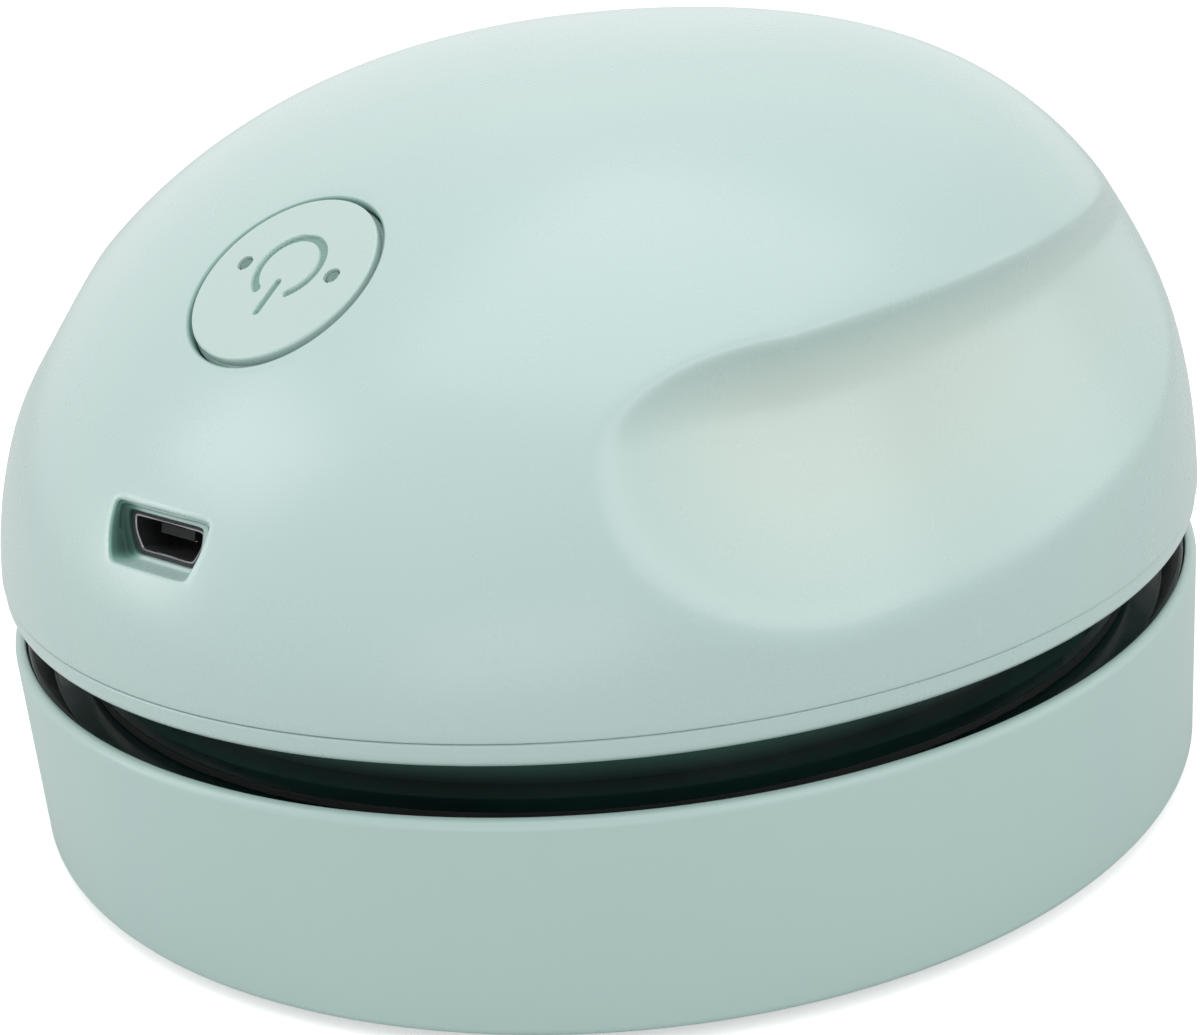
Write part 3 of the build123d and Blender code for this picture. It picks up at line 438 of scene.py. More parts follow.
class Value:
    """A number that varies over a surface. An expression on it adds its Math nodes."""

    def __init__(self, finish, socket):
        self.finish = finish
        self.socket = socket

    def __add__(self, other):
        return self.finish.math("ADD", self, other)

    def __sub__(self, other):
        return self.finish.math("SUBTRACT", self, other)

    def __rsub__(self, other):
        return self.finish.math("SUBTRACT", other, self)

    def __mul__(self, other):
        return self.finish.math("MULTIPLY", self, other)

    def __truediv__(self, other):
        return self.finish.math("DIVIDE", self, other)

    def __rtruediv__(self, other):
        return self.finish.math("DIVIDE", other, self)

    def __pow__(self, other):
        return self.finish.math("POWER", self, other)

    def __abs__(self):
        return self.finish.math("ABSOLUTE", self)

    __radd__ = __add__
    __rmul__ = __mul__

    def sine(self):
        """The sine of the value in radians."""
        return self.finish.math("SINE", self)

    def most(self, other):
        """The larger of two values."""
        return self.finish.math("MAXIMUM", self, other)

    def saw(self, pitch):
        """Distance from the nearest multiple of the pitch, from 0 to half of it."""
        return self.finish.math("PINGPONG", self, pitch / 2)

    def stripe(self, pitch):
        """The same distance as a share of half the pitch, from 0 to 1."""
        return self.saw(pitch) / (pitch / 2)

    def over(self, edge, width):
        """0 below the edge and 1 above it, with a soft step of that width."""
        low, high = edge - width / 2, edge + width / 2
        return Value(self.finish, self.finish.node(
            "ShaderNodeMapRange", {"interpolation_type": "SMOOTHSTEP"},
            {0: self, 1: low, 2: high, 3: 0.0, 4: 1.0}).outputs[0])

    def under(self, edge, width):
        """1 below the edge and 0 above it."""
        return 1 - self.over(edge, width)


class Finish:
    """One procedural finish: a Principled surface whose colour, roughness and relief vary over the piece."""

    def __init__(self, name, colour, roughness, metallic=0.0, **constants):
        self.material = bpy.data.materials.new(name)
        self.material.use_nodes = True
        self.tree = self.material.node_tree
        self.shader = self.tree.nodes["Principled BSDF"]
        self.set("Base Color", colour)
        self.set("Roughness", roughness)
        self.set("Metallic", metallic)
        for socket, value in constants.items():
            self.set(socket.replace("_", " "), value)
        self.place = self.node("ShaderNodeTexCoord", {}, {}).outputs["Object"]

    def node(self, kind, settings, inputs):
        """Any node: its type, its settings, which are set first, and the values or links of its sockets."""
        node = self.tree.nodes.new(kind)
        for key, value in settings.items():
            setattr(node, key, value)
        for key, value in inputs.items():
            self.feed(node.inputs[key], value)
        return node

    def feed(self, socket, value):
        """A number or colour is set on a socket, and a value or another socket is linked to it."""
        if isinstance(value, Value):
            self.tree.links.new(value.socket, socket)
        elif isinstance(value, bpy.types.NodeSocket):
            self.tree.links.new(value, socket)
        else:
            socket.default_value = value

    def set(self, socket, value):
        """Sets or links one socket of the surface."""
        self.feed(self.shader.inputs[socket], value)

    def math(self, operation, first, second=0.0):
        """A Math node on one or two values."""
        node = self.node("ShaderNodeMath", {"operation": operation}, {0: first, 1: second})
        return Value(self, node.outputs[0])

    def mix(self, share, low, high):
        """A colour between two colours."""
        node = self.node("ShaderNodeMix", {"data_type": "RGBA"}, {0: share, 6: low, 7: high})
        return node.outputs[2]

    def stretched(self, x, y, z):
        """The place on the piece, scaled along each axis."""
        node = self.node("ShaderNodeVectorMath", {"operation": "MULTIPLY"}, {0: self.place, 1: (x, y, z)})
        return node.outputs[0]

    def axes(self):
        """The three numbers of the place on the piece."""
        node = self.node("ShaderNodeSeparateXYZ", {}, {0: self.place})
        return [Value(self, socket) for socket in node.outputs]

    def noise(self, size, detail, place=None):
        """Soft noise from 0 to 1 whose lumps are about one size across, in millimetres."""
        node = self.node("ShaderNodeTexNoise", {}, {
            "Vector": place or self.place, "Scale": 1 / (size * MM), "Detail": detail, "Roughness": 0.5})
        return Value(self, node.outputs[0])

    def cells(self, size):
        """Distance to the nearest of scattered points, in shares of their spacing in millimetres."""
        node = self.node("ShaderNodeTexVoronoi", {"feature": "F1"}, {
            "Vector": self.place, "Scale": 1 / (size * MM)})
        return Value(self, node.outputs["Distance"])

    def mark(self):
        """The number that the piece's own points carry."""
        return Value(self, self.node("ShaderNodeAttribute", {"attribute_name": "mark"}, {}).outputs["Fac"])

    def relief(self, *layers):
        """Bump nodes in a chain, each from a height and the depth in millimetres that its 1 stands for."""
        normal = None
        for height, depth in layers:
            inputs = {"Height": height, "Distance": depth * MM, "Strength": 1.0}
            if normal is not None:
                inputs["Normal"] = normal
            normal = self.node("ShaderNodeBump", {}, inputs).outputs[0]
        self.set("Normal", normal)

    def surface(self, colour, roughness, *layers):
        """Sets what every finish varies, its colour, roughness and relief, and hands over the material."""
        self.set("Base Color", colour)
        self.set("Roughness", roughness)
        self.relief(*layers)
        return self.material


# ---------------------------------------------------------------- finishes
def satin_plastic(name, colour, shade, roughness):
    """Moulded satin plastic: faint flow clouds in the colour, a wavy skin, and uneven sheen from handling.

    A mark below 0 pales the colour: a painted highlight in the grips, palest at their middles, and a paler
    face on the button. A mark above 0 is painted shade in a recess or groove.
    """
    finish = Finish(name, colour, roughness, Coat_Roughness=0.3)
    mark = finish.mark()
    deep = mark.over(0.9, 1.0)
    clouds = finish.noise(22, 3)
    speckle = finish.noise(0.35, 2)
    skin = finish.mix(clouds * 0.6 + speckle * 0.05, colour, shade)
    # Painted highlight: a mark below 0 pales the grips toward their middles and the button's face.
    paler_and_painted_highlight = finish.mix((0 - mark) * 0.42, skin, paint(212, 220, 207))
    # Painted shade: a mark above 0 darkens recesses and grooves, to dark green from 1.5 up, and takes the
    # coat off there.
    with_painted_shade = finish.mix(mark * 0.75, paler_and_painted_highlight, paint(92, 140, 128))
    sheen = roughness - 0.03 + 0.06 * finish.noise(9, 2) + 0.01 * speckle + 0.3 * deep
    finish.set("Coat Weight", 0.34 * (1 - deep))
    return finish.surface(finish.mix(mark.over(1.5, 1.0), with_painted_shade, paint(26, 66, 58)),
                          sheen, (finish.noise(2.6, 1), 0.0008))


def gloss_plastic():
    """Polished green-black plastic of the collar and the lid: fine moulding waves and specks of dust that
    roughen it.

    The collar is painted paler teal next to the head, a painted reflection of the head's mint underside. A
    piece marked 1 stays dark.
    """
    colour, shade, painted_reflection = paint(30, 62, 57), paint(12, 28, 26), paint(118, 170, 156)
    finish = Finish("gloss_plastic", colour, 0.12)
    level = finish.axes()[2]
    # Painted reflection: above the cup's top the collar turns paler teal, except on pieces marked 1.
    high = level.over((cup_top + 0.1) * MM, 3.0 * MM) * (1 - finish.mark())
    dust = finish.noise(1.6, 4).over(0.6, 0.3) * 0.3
    bare = finish.mix(finish.noise(12, 2), shade, colour)
    return finish.surface(finish.mix(high * (0.55 + 0.35 * finish.noise(9, 2)), bare, painted_reflection),
                          0.12 + 0.1 * finish.noise(5, 3) + 0.25 * dust, (finish.noise(6, 2), 0.01))


def dark_plastic():
    """Hidden housings and boards' holders: matt dark grey, with a fine moulded grain."""
    colour, shade = paint(36, 38, 38), paint(24, 26, 27)
    finish = Finish("dark_plastic", colour, 0.5, Specular_IOR_Level=0.2)
    grain = finish.noise(0.3, 3)
    return finish.surface(finish.mix(grain, colour, shade), 0.42 + 0.2 * grain, (grain, 0.012))


def soft_rubber():
    """Feet, gasket and seals: matt rubber with a bloom of talc and tiny pits."""
    colour, shade = paint(52, 55, 55), paint(36, 38, 39)
    finish = Finish("soft_rubber", colour, 0.75)
    pits = finish.cells(0.4).under(0.2, 0.2)
    return finish.surface(finish.mix(finish.noise(3, 3), colour, shade),
                          0.68 + 0.2 * finish.noise(1.2, 2), (1 - pits, 0.015), (finish.noise(0.5, 2), 0.01))


def nylon_bristle():
    """Bristles: nylon with streaks along each hair."""
    colour, shade = paint(70, 74, 74), paint(30, 32, 33)
    finish = Finish("nylon_bristle", colour, 0.45)
    streaks = finish.noise(0.16, 2, finish.stretched(1, 1, 0.06))
    return finish.surface(finish.mix(streaks.over(0.5, 0.5), shade, colour),
                          0.35 + 0.3 * streaks, (streaks, 0.03))


def machined_steel(name, colour, shade, roughness):
    """Drawn or turned steel: faint rings round the axis and specks of oil."""
    finish = Finish(name, colour, roughness, 1.0)
    rings = finish.noise(0.12, 2, finish.stretched(0.1, 0.1, 1))
    spots = finish.noise(2.5, 3).over(0.62, 0.2)
    return finish.surface(finish.mix(rings * 0.6 + spots * 0.3, colour, shade),
                          roughness + 0.14 * rings + 0.1 * spots, (rings, 0.004))


def laminated_core():
    """Stamped core sheets in a stack, half a millimetre each, with blued edges."""
    colour, shade = paint(120, 124, 128), paint(60, 66, 74)
    finish = Finish("laminated_core", colour, 0.4, 1.0)
    sheet = 0.5 * MM
    seam = finish.axes()[2].saw(sheet).under(0.04 * MM, 0.05 * MM)
    return finish.surface(finish.mix(seam * 0.8 + 0.2 * finish.noise(1, 2), colour, shade),
                          0.35 + 0.3 * seam, (1 - seam, 0.05))


def copper_wire():
    """Enamelled copper wire wound side by side, darker between the turns."""
    colour, shade = paint(196, 106, 58), paint(92, 38, 20)
    finish = Finish("copper_wire", colour, 0.3, 1.0)
    x, y, _ = finish.axes()
    wire_pitch = 0.28 * MM
    strand = (x + y * 0.7).stripe(wire_pitch)
    return finish.surface(finish.mix(strand.under(0.35, 0.4), colour, shade),
                          0.25 + 0.15 * finish.noise(1.2, 2), (strand ** 0.5, 0.09))


def turned_brass():
    """Turned brass and bronze with tool rings."""
    colour, shade = paint(206, 174, 108), paint(150, 116, 62)
    finish = Finish("turned_brass", colour, 0.3, 1.0)
    rings = finish.noise(0.1, 2, finish.stretched(0.1, 0.1, 1))
    return finish.surface(finish.mix(rings, colour, shade), 0.25 + 0.15 * rings, (rings, 0.006))


def circuit_green():
    """Green lacquer over a grid of copper tracks that turn corners, with tinned pads at some crossings."""
    colour, shade = paint(28, 92, 62), paint(46, 128, 84)
    finish = Finish("circuit_green", colour, 0.3, 0.0, Coat_Weight=0.4)
    x, y, _ = finish.axes()
    lane_pitch, cross_pitch = 1.1 * MM, 1.3 * MM
    lane = x.stripe(lane_pitch).under(0.35, 0.1)
    cross = y.stripe(cross_pitch).under(0.35, 0.1)
    choice = finish.noise(2.6, 0).over(0.5, 0.02)
    tracks = lane * choice + cross * (1 - choice)
    pads = lane * cross * finish.noise(1.9, 0).over(0.56, 0.02)
    finish.set("Metallic", pads)
    return finish.surface(finish.mix(pads, finish.mix(tracks, colour, shade), paint(205, 206, 200)),
                          0.28 + 0.1 * finish.noise(3, 2), (tracks, 0.02))


def chip_resin():
    """Moulded chips and capacitors: matt black resin with a laser-roughened top."""
    colour, shade = paint(34, 34, 36), paint(22, 22, 24)
    finish = Finish("chip_resin", colour, 0.6)
    grain = finish.noise(0.12, 3)
    return finish.surface(finish.mix(grain, colour, shade), 0.5 + 0.3 * grain, (grain, 0.01))


def lamp_resin():
    """Lamp in a white case with a yellow phosphor window over its middle."""
    case, phosphor = paint(240, 238, 228), paint(232, 214, 110)
    finish = Finish("lamp_resin", paint(236, 232, 214), 0.35)
    return finish.surface(finish.mix(finish.noise(0.8, 1).over(0.5, 0.2), case, phosphor),
                          0.3 + 0.2 * finish.noise(0.5, 2), (finish.noise(0.3, 2), 0.01))


def clear_rod():
    """Clear acrylic of the light pipes, milky at the face where the lamp's light leaves it."""
    finish = Finish("clear_rod", paint(96, 128, 122), 0.2, Coat_Weight=0.2)
    cloud = finish.noise(0.5, 2)
    return finish.surface(finish.mix(cloud, paint(76, 116, 106), paint(108, 146, 134)),
                          0.12 + 0.2 * cloud, (cloud, 0.01))


def plunger_plastic():
    """The push switch's plunger: dense cream plastic."""
    finish = Finish("plunger_plastic", paint(196, 188, 168), 0.4)
    grain = finish.noise(0.2, 2)
    return finish.surface(finish.mix(grain, paint(200, 192, 172), paint(176, 168, 150)),
                          0.35 + 0.2 * grain, (grain, 0.006))


def battery_film():
    """Shrunk film round the cell, with fine creases near its ends, where the bare can shows."""
    film, crease = paint(58, 120, 168), paint(40, 92, 138)
    film_end, crease_start = 24.1 * MM, 21 * MM
    finish = Finish("battery_film", film, 0.3)
    along = abs(finish.axes()[0])
    ends = along.over(film_end, 0.3 * MM)
    creases = finish.noise(0.5, 3, finish.stretched(0.15, 1, 1)) * along.over(crease_start, 4 * MM)
    finish.set("Metallic", ends)
    return finish.surface(finish.mix(ends, finish.mix(creases, film, crease), paint(200, 202, 204)),
                          0.24 + 0.2 * finish.noise(2, 2), (creases, 0.05))


def wire_skin(name, colour, shade):
    """Soft insulation of a wire, with the faint lines that the extruder leaves and a dull bloom."""
    finish = Finish(name, colour, 0.4)
    bloom = finish.noise(2.2, 3)
    return finish.surface(finish.mix(bloom, colour, shade),
                          0.32 + 0.2 * bloom, (finish.noise(0.2, 2), 0.01))


def filter_paper():
    """Pressed filter paper: fibres in all directions and soft clouds of density."""
    colour, shade = paint(232, 230, 220), paint(204, 202, 190)
    finish = Finish("filter_paper", colour, 0.9)
    along = finish.noise(0.22, 4, finish.stretched(1, 0.3, 1))
    across = finish.noise(0.22, 4, finish.stretched(0.3, 1, 1))
    fibres = along * 0.5 + across * 0.5
    return finish.surface(finish.mix(fibres * 0.7 + finish.noise(4, 2) * 0.3, colour, shade),
                          0.82 + 0.15 * fibres, (fibres, 0.04))


def filter_gauze():
    """Woven nylon gauze: threads over and under each other, with dark meshes between."""
    colour, shade = paint(206, 212, 210), paint(60, 66, 66)
    finish = Finish("filter_gauze", colour, 0.55)
    x, y, _ = finish.axes()
    thread_pitch = 0.6 * MM
    wave = math.pi / thread_pitch
    thread = x.stripe(thread_pitch).under(0.45, 0.15).most(y.stripe(thread_pitch).under(0.45, 0.15))
    weave = (x * wave).sine() * (y * wave).sine()
    return finish.surface(finish.mix(thread, shade, colour), 0.5 + 0.2 * finish.noise(1, 2),
                          (thread, 0.08), (weave, 0.03))


finishes = {
    "mint_shell": satin_plastic("mint_shell", paint(184, 208, 204), paint(179, 203, 199), 0.27),
    "mint_cup": satin_plastic("mint_cup", paint(180, 206, 201), paint(175, 201, 196), 0.36),
    "black_gloss": gloss_plastic(),
    "dark_plastic": dark_plastic(),
    "rubber": soft_rubber(),
    "bristle": nylon_bristle(),
    "steel": machined_steel("steel", paint(150, 152, 154), paint(104, 106, 110), 0.3),
    "bright_metal": machined_steel("bright_metal", paint(206, 206, 204), paint(160, 160, 160), 0.2),
    "core_steel": laminated_core(),
    "copper": copper_wire(),
    "brass": turned_brass(),
    "circuit_board": circuit_green(),
    "components": chip_resin(),
    "lamp": lamp_resin(),
    "light_pipe": clear_rod(),
    "plunger": plunger_plastic(),
    "battery_wrap": battery_film(),
    "red_wire": wire_skin("red_wire", paint(168, 34, 30), paint(132, 22, 20)),
    "black_wire": wire_skin("black_wire", paint(38, 38, 40), paint(24, 24, 26)),
    "white_wire": wire_skin("white_wire", paint(222, 222, 216), paint(196, 196, 188)),
    "filter_paper": filter_paper(),
    "filter_gauze": filter_gauze(),
}


def dress(thing, slot):
    """Gives a piece or a CAD node one finish in its first slot."""
    thing.data.materials.clear()
    thing.data.materials.append(finishes[slot])


def dress_nodes():
    """Every CAD node takes the finish of its own slot in the record."""
    for part in frame["record"]["subparts"]:
        dress(frame["nodes"][part["node"]], part["material_slot"])


dress_nodes()


def soft_step(value, width):
    """0 below minus half the width, 1 above plus half of it, smooth between."""
    share = np.clip(value / width + 0.5, 0, 1)
    return share * share * (3 - 2 * share)


# ---------------------------------------------------------------- the domed cover
cover_edge = 0.25
cover_columns = 380
low_rows = 30
crease_rows = 40
high_rows = 40
crease_share = 0.8
crease_band = 5
grip_crowd = 1.3
grip_front_turn = 0.9
grip_front_spread = 0.26
nose_crowd = 0.9
nose_spread = 0.3
# Half turn and half height of the stretch of grid that each hole's patch replaces.
button_window = (0.31, 8.8)
port_window = (0.21, 5.2)
hole_edge = 0.22
patch_rows = 9
back_rows = 7
patch_ease = 0.8
# Painted shade: marks above 0 darken the button's sleeve and the socket's recess; the last number is the
# share of that shade kept away from the recess's -X side.
sleeve_shade = 0.8
deep_shade = 2.0
shade_rows = 6
far_side_shade = 0.14


def cover_levels():
    """Heights of the cover's rows: even low down, closest over the grips' creases, closing to the apex."""
    bottom = parting - head_bottom + cover_edge
    crease = grip_rise + crease_share * grip_above
    low = np.linspace(bottom, crease - crease_band, low_rows, endpoint=False)
    middle = np.linspace(crease - crease_band, crease + crease_band, crease_rows, endpoint=False)
    rise = np.sin(np.pi / 2 * np.linspace(0, 1, high_rows))
    return np.concatenate([low, middle, crease + crease_band + (dome_height - crease - crease_band) * rise])


def cover_turns():
    """Turns of the cover's columns, from the tail round: closer at the nose and the grips' fronts."""
    fine = np.linspace(-np.pi, np.pi, 4001)
    at_grips = np.exp(-((np.abs(fine) - grip_front_turn) / grip_front_spread) ** 2)
    at_nose = np.exp(-(fine / nose_spread) ** 2)
    crowd = 1 + grip_crowd * at_grips + nose_crowd * at_nose
    total = np.concatenate([[0], np.cumsum((crowd[1:] + crowd[:-1]) / 2)])
    return np.interp(np.linspace(0, total[-1], cover_columns, endpoint=False), total, fine)


def window(levels, turns, seat, reach_side, reach_up):
    """Rows and columns of the grid that enclose a hole: first and last of each."""
    middle = seat.middle[2] - head_bottom
    rows = np.nonzero(np.abs(levels - middle) < reach_up)[0]
    columns = np.nonzero(np.abs(turns) < reach_side)[0]
    return rows[0], rows[-1], columns[0], columns[-1]


def window_loop(grid, edges):
    """The grid's points round a window, anticlockwise from its lower left corner."""
    low, high, left, right = edges
    return np.concatenate([grid[low, left:right], grid[low:high, right],
                           grid[high, left + 1:right + 1][::-1], grid[low + 1:high + 1, left][::-1]])


def hole_patch(grid, edges, seat, outline, grow, inset, steps):
    """Rows of points on the dome from a window's edge to an outline, with their directions."""
    loop = window_loop(grid, edges)
    side, up, _ = seat.local(loop)
    direction = np.arctan2(up, side)
    reach = outline(direction, grow)
    share = np.linspace(0, 1, steps)[:, None] ** patch_ease
    path_side = side + share * (reach * np.cos(direction) - side)
    path_up = up + share * (reach * np.sin(direction) - up)
    rows = meet_dome(seat, path_side, path_up, inset)
    rows[0] = loop
    return rows, direction


def dome_cover():
    """The cover: its outer and inner dome, joined round the foot, down the sleeve and round the socket."""
    turns = cover_turns()
    levels = cover_levels()
    holes = [window(levels, turns, button_plane, *button_window),
             window(levels, turns, port_plane, *port_window)]
    keep = np.ones((len(levels) - 1, len(turns)), bool)
    for low, high, left, right in holes:
        keep[low:high, left:right] = False
    skin = Skin()
    grids = []
    for inset in (0.0, dome_wall):
        room = dome_height - inset - levels[0]
        heights = (levels[0] + (levels - levels[0]) * room / (dome_height - levels[0]))[:, None]
        grids.append(dome_point(heights + 0 * turns, turns + 0 * heights, inset))
        # The grips' depth becomes a mark below 0, which paints a highlight that is brightest in the grips'
        # middles.
        dent = grip_dent(heights, grids[-1][..., 0], grids[-1][..., 1])
        skin.grid(grids[-1], keep=keep, flip=inset > 0, mark=-dent / grip_depth)
    outer, inner = grids
    away = outer[0] * (1, 1, 0) / np.linalg.norm(outer[0][:, :2], axis=1)[:, None]
    arc = np.linspace(0, np.pi / 2, 5)
    foot = [outer[0] - away * cover_edge * (1 - np.cos(a)) - (0, 0, cover_edge * np.sin(a)) for a in arc]
    flat = inner[0] * (1, 1, 0) + (0, 0, parting)
    skin.grid(foot + [flat, inner[0]], flip=True)
    button_hole(skin, outer, inner, holes[0])
    port_hole(skin, outer, inner, holes[1])
    for turn, inset in boss_places:
        hollow_post(skin, upright_seat(turn, body_radius - inset, boss_seat), boss_radius, boss_depth)
    for side in (-1, 1):
        seat = Seat(button_plane.world(side * post_offset, 0.0, switch_seat), button_plane.out)
        hollow_post(skin, seat, post_radius, post_depth)
    return skin.build("dome_cover", 40)


def hollow_post(skin, seat, radius, depth):
    """A round post from its seat up into the dome's wall, with a screw hole in its foot."""
    direction = turns_round(32)
    top = meet_dome(seat, radius * np.cos(direction), radius * np.sin(direction), dome_wall / 2, 0.0, 40.0)
    section = [(radius, post_edge), (radius - post_edge, 0.0), (screw_hole + post_edge, 0.0),
               (screw_hole, post_edge), (screw_hole, depth), (0, depth)]
    skin.grid([0 * top + top.mean(axis=0), top] + seat.rings(direction, section), flip=True)


def hole_wall(seat, direction, mouth, reach, edge):
    """Rounds a hole's edge over from the dome: a quarter arc from its mouth down to its straight wall."""
    _, _, out = seat.local(mouth)
    arc = np.linspace(0, np.pi / 2, 5)[1:]
    section = [(reach + edge * (1 - np.sin(a)), out - edge * (1 - np.cos(a))) for a in arc]
    return seat.rings(direction, section), out - edge


def button_hole(skin, outer, inner, edges):
    """The sleeve that the button slides in, from the dome down past its inner side and back up outside."""
    seat = button_plane
    reach = button_radius + button_gap
    back_reach = reach + sleeve_wall
    patch, direction = hole_patch(outer, edges, seat, round_outline(reach), hole_edge, 0.0, patch_rows)
    rows, low = hole_wall(seat, direction, patch[-1], reach, hole_edge)
    back, turned = hole_patch(inner, edges, seat, round_outline(back_reach), 0.0, dome_wall, back_rows)
    foot = -sleeve_depth
    rows += seat.rings(direction, [(reach, low + (foot - low) * s) for s in (0.3, 0.65, 1.0)])
    rows += seat.rings(turned, [(back_reach, foot)])
    # The sleeve's rows carry painted shade, darkening the groove round the button.
    shade = np.concatenate([np.zeros(len(patch)), np.full(len(rows), sleeve_shade), np.zeros(len(back))])
    skin.grid([*patch, *rows, *back[::-1]], mark=shade[:, None] + 0 * direction)


def port_hole(skin, outer, inner, edges):
    """The socket's flared recess, its flat floor, the cut-out through it and the pad behind."""
    seat = port_plane
    wall = port_outline(port_border, port_border_height)
    cut = port_outline(port_clear, port_clear)
    wide, high = port_width / 2 + 2 * port_pad, port_height / 2 + 1.5 * port_pad
    pad = sided_outline([(0, wide), (math.pi, wide), (math.pi / 2, high), (-math.pi / 2, high)])
    flare = port_flare * port_recess
    patch, direction = hole_patch(outer, edges, seat, wall, flare + hole_edge, 0.0, patch_rows)
    rows, low = hole_wall(seat, direction, patch[-1], wall(direction, flare), hole_edge)
    section = [(wall(direction, port_flare * out), out) for out in (0.6 * low, 0.25 * low)]
    arc = np.linspace(0, np.pi / 2, 4)
    section += [(wall(direction, -port_floor_round * (1 - np.cos(a))), port_floor_round * (1 - np.sin(a)))
                for a in arc]
    section += [(cut(direction, port_cut_round * (1 - np.sin(a))), -port_cut_round * (1 - np.cos(a)))
                for a in arc]
    rows += seat.rings(direction, section + [(cut(direction), -port_pad)])
    back, turned = hole_patch(inner, edges, seat, pad, 0.0, dome_wall, back_rows)
    rows += seat.rings(turned, [(pad(turned), np.minimum(-port_pad, seat.local(back[-1])[2] - pad_clear))])
    # Painted shade down the recess's walls and floor, darkening inward and most on its -X side.
    shade = np.concatenate([np.zeros(len(patch)), np.linspace(sleeve_shade, deep_shade, shade_rows),
                            np.full(len(rows) - shade_rows, deep_shade), np.zeros(len(back))])
    side_shade = far_side_shade + (1 - far_side_shade) * soft_step(-np.cos(direction) - 0.88, 0.2)
    skin.grid([*patch, *rows, *back[::-1]], mark=shade[:, None] * side_shade)


finish_piece(dome_cover(), "head", "mint_shell", "upper_shell")


# ---------------------------------------------------------------- the power button
mark_radius = 2.65
mark_line = 0.56
mark_depth = 0.26
mark_shift = 0.85
mark_ease = 0.12
mark_open = math.radians(34)
mark_bar = (-4.0, -1.42)
light_place = (4.3, 0.65)
light_radius = 0.7
light_tip = 0.5
light_foot = -9.4
light_clear = 0.07
light_hole_depth = 0.6
tip_sink = 0.12
tip_dome = 0.1
button_crown = 0.1
button_round = 0.2
bead_out = 0.22
bead_depths = (0.75, 0.95, 2.5, 2.8)
flange_clear = 0.1
flange_out = 1.3
flange_thick = 0.8
skirt_wall = 1.2
stem_radius = 1.9
# face_mark pales the button's face; sunk_mark is painted shade in the sunk mark and the light holes.
face_mark = -0.4
sunk_mark = 1.0


def mark_sink(side, up):
    """How deep the face is sunk, 0 to 1, in the mark: near an arc open to the nose, or near its short bar."""
    up = up - mark_shift
    turn = np.arctan2(np.abs(side), -up)
    end = mark_radius * math.sin(mark_open), -mark_radius * math.cos(mark_open)
    arc = np.where(turn > mark_open, np.abs(np.hypot(side, up) - mark_radius),
                   np.hypot(np.abs(side) - end[0], up - end[1]))
    bar = np.hypot(side, up - np.clip(up, *mark_bar))
    return soft_step(mark_line / 2 - np.minimum(arc, bar), mark_ease)


def button_cap():
    """The button's crowned face with its sunk mark and light holes, its skirt, stop flange and stem."""
    direction = turns_round(420)
    reach = np.concatenate([[0], np.linspace(0.1, button_radius - button_round, 96)])[:, None]
    side, up = reach * np.cos(direction), reach * np.sin(direction)
    sink = mark_sink(side, up)
    to_light = np.hypot(np.abs(side) - light_place[0], up - light_place[1])
    hole = soft_step(light_tip + light_clear - to_light, light_clear)
    crown = button_crown * (1 - (reach / button_radius) ** 2)
    face = button_plane.world(side, up, crown - mark_depth * sink - (light_hole_depth + crown) * hole)
    edge = crown[-1, 0]
    flange = -sleeve_depth - flange_clear
    bead, rim, bore = button_radius + bead_out, button_radius + flange_out, button_radius - skirt_wall
    stem_foot = -button_face - stem_length
    section = [(button_radius - button_round * (1 - math.sin(a)), edge - button_round * (1 - math.cos(a)))
               for a in np.linspace(0, np.pi / 2, 6)[1:]]
    start, full, fading, end = (edge - depth for depth in bead_depths)
    section += [(button_radius, start), (bead, full), (bead, fading), (button_radius, end),
                (button_radius, flange), (rim, flange), (rim, flange - flange_thick),
                (bore, flange - flange_thick), (bore, -button_face), (stem_radius, -button_face),
                (stem_radius, stem_foot), (0, stem_foot)]
    skin = Skin()
    # The face is paled, and its sunk mark and light holes get painted shade, which in the mark also gives the
    # symbol its grey-green tone.
    skin.grid(face, flip=True, mark=face_mark + (sunk_mark - face_mark) * np.maximum(sink, hole))
    skin.grid([face[-1]] + button_plane.rings(direction, section), flip=True)
    return skin.build("button_cap", 40)


def light_rods():
    """Two stepped clear rods: wide in the cap, with a narrow tip that ends in a low dome under the face."""
    section = [(0, light_foot), (light_radius, light_foot), (light_radius, -button_face),
               (light_tip, -button_face)]
    section += [(light_tip * math.cos(a), tip_dome * math.sin(a) - tip_sink)
                for a in np.linspace(0, np.pi / 2, 6)]
    skin = Skin()
    for side in (-1, 1):
        seat = Seat(button_plane.world(side * light_place[0], light_place[1], 0.0), button_plane.out)
        skin.grid(seat.rings(turns_round(40), section))
    return skin.build("light_rods", 40)


finish_piece(button_cap(), "button", "mint_shell", "power_button")
finish_piece(light_rods(), "button", "light_pipe", "light_pipes")


# ---------------------------------------------------------------- the charging socket
socket_gap = 0.1
socket_metal = 0.16
socket_depth = 5.4
socket_sink = 0.3
lip_round = 0.06
shade_collar_ease = 0.02
shade_collar_back = -1.4
shade_collar_outside = -0.28
shade_collar_inside = -0.34


def socket_shell():
    """The socket's drawn metal tube: its outline carried back from a rounded lip, closed at the back."""
    direction = turns_round(200)
    outer = port_outline(-socket_gap, -socket_gap)(direction)
    inner = port_outline(-socket_gap - socket_metal, -socket_gap - socket_metal)(direction)
    lip = -socket_sink
    inner_back = socket_metal - socket_depth
    skin = Skin()
    skin.grid(port_plane.rings(direction, [
        (0 * outer, -socket_depth), (outer, -socket_depth), (outer, lip - lip_round),
        (outer - lip_round, lip), (inner + lip_round, lip), (inner, lip - lip_round),
        (inner, inner_back), (0 * inner, inner_back)]))
    return skin.build("socket_shell", 35)


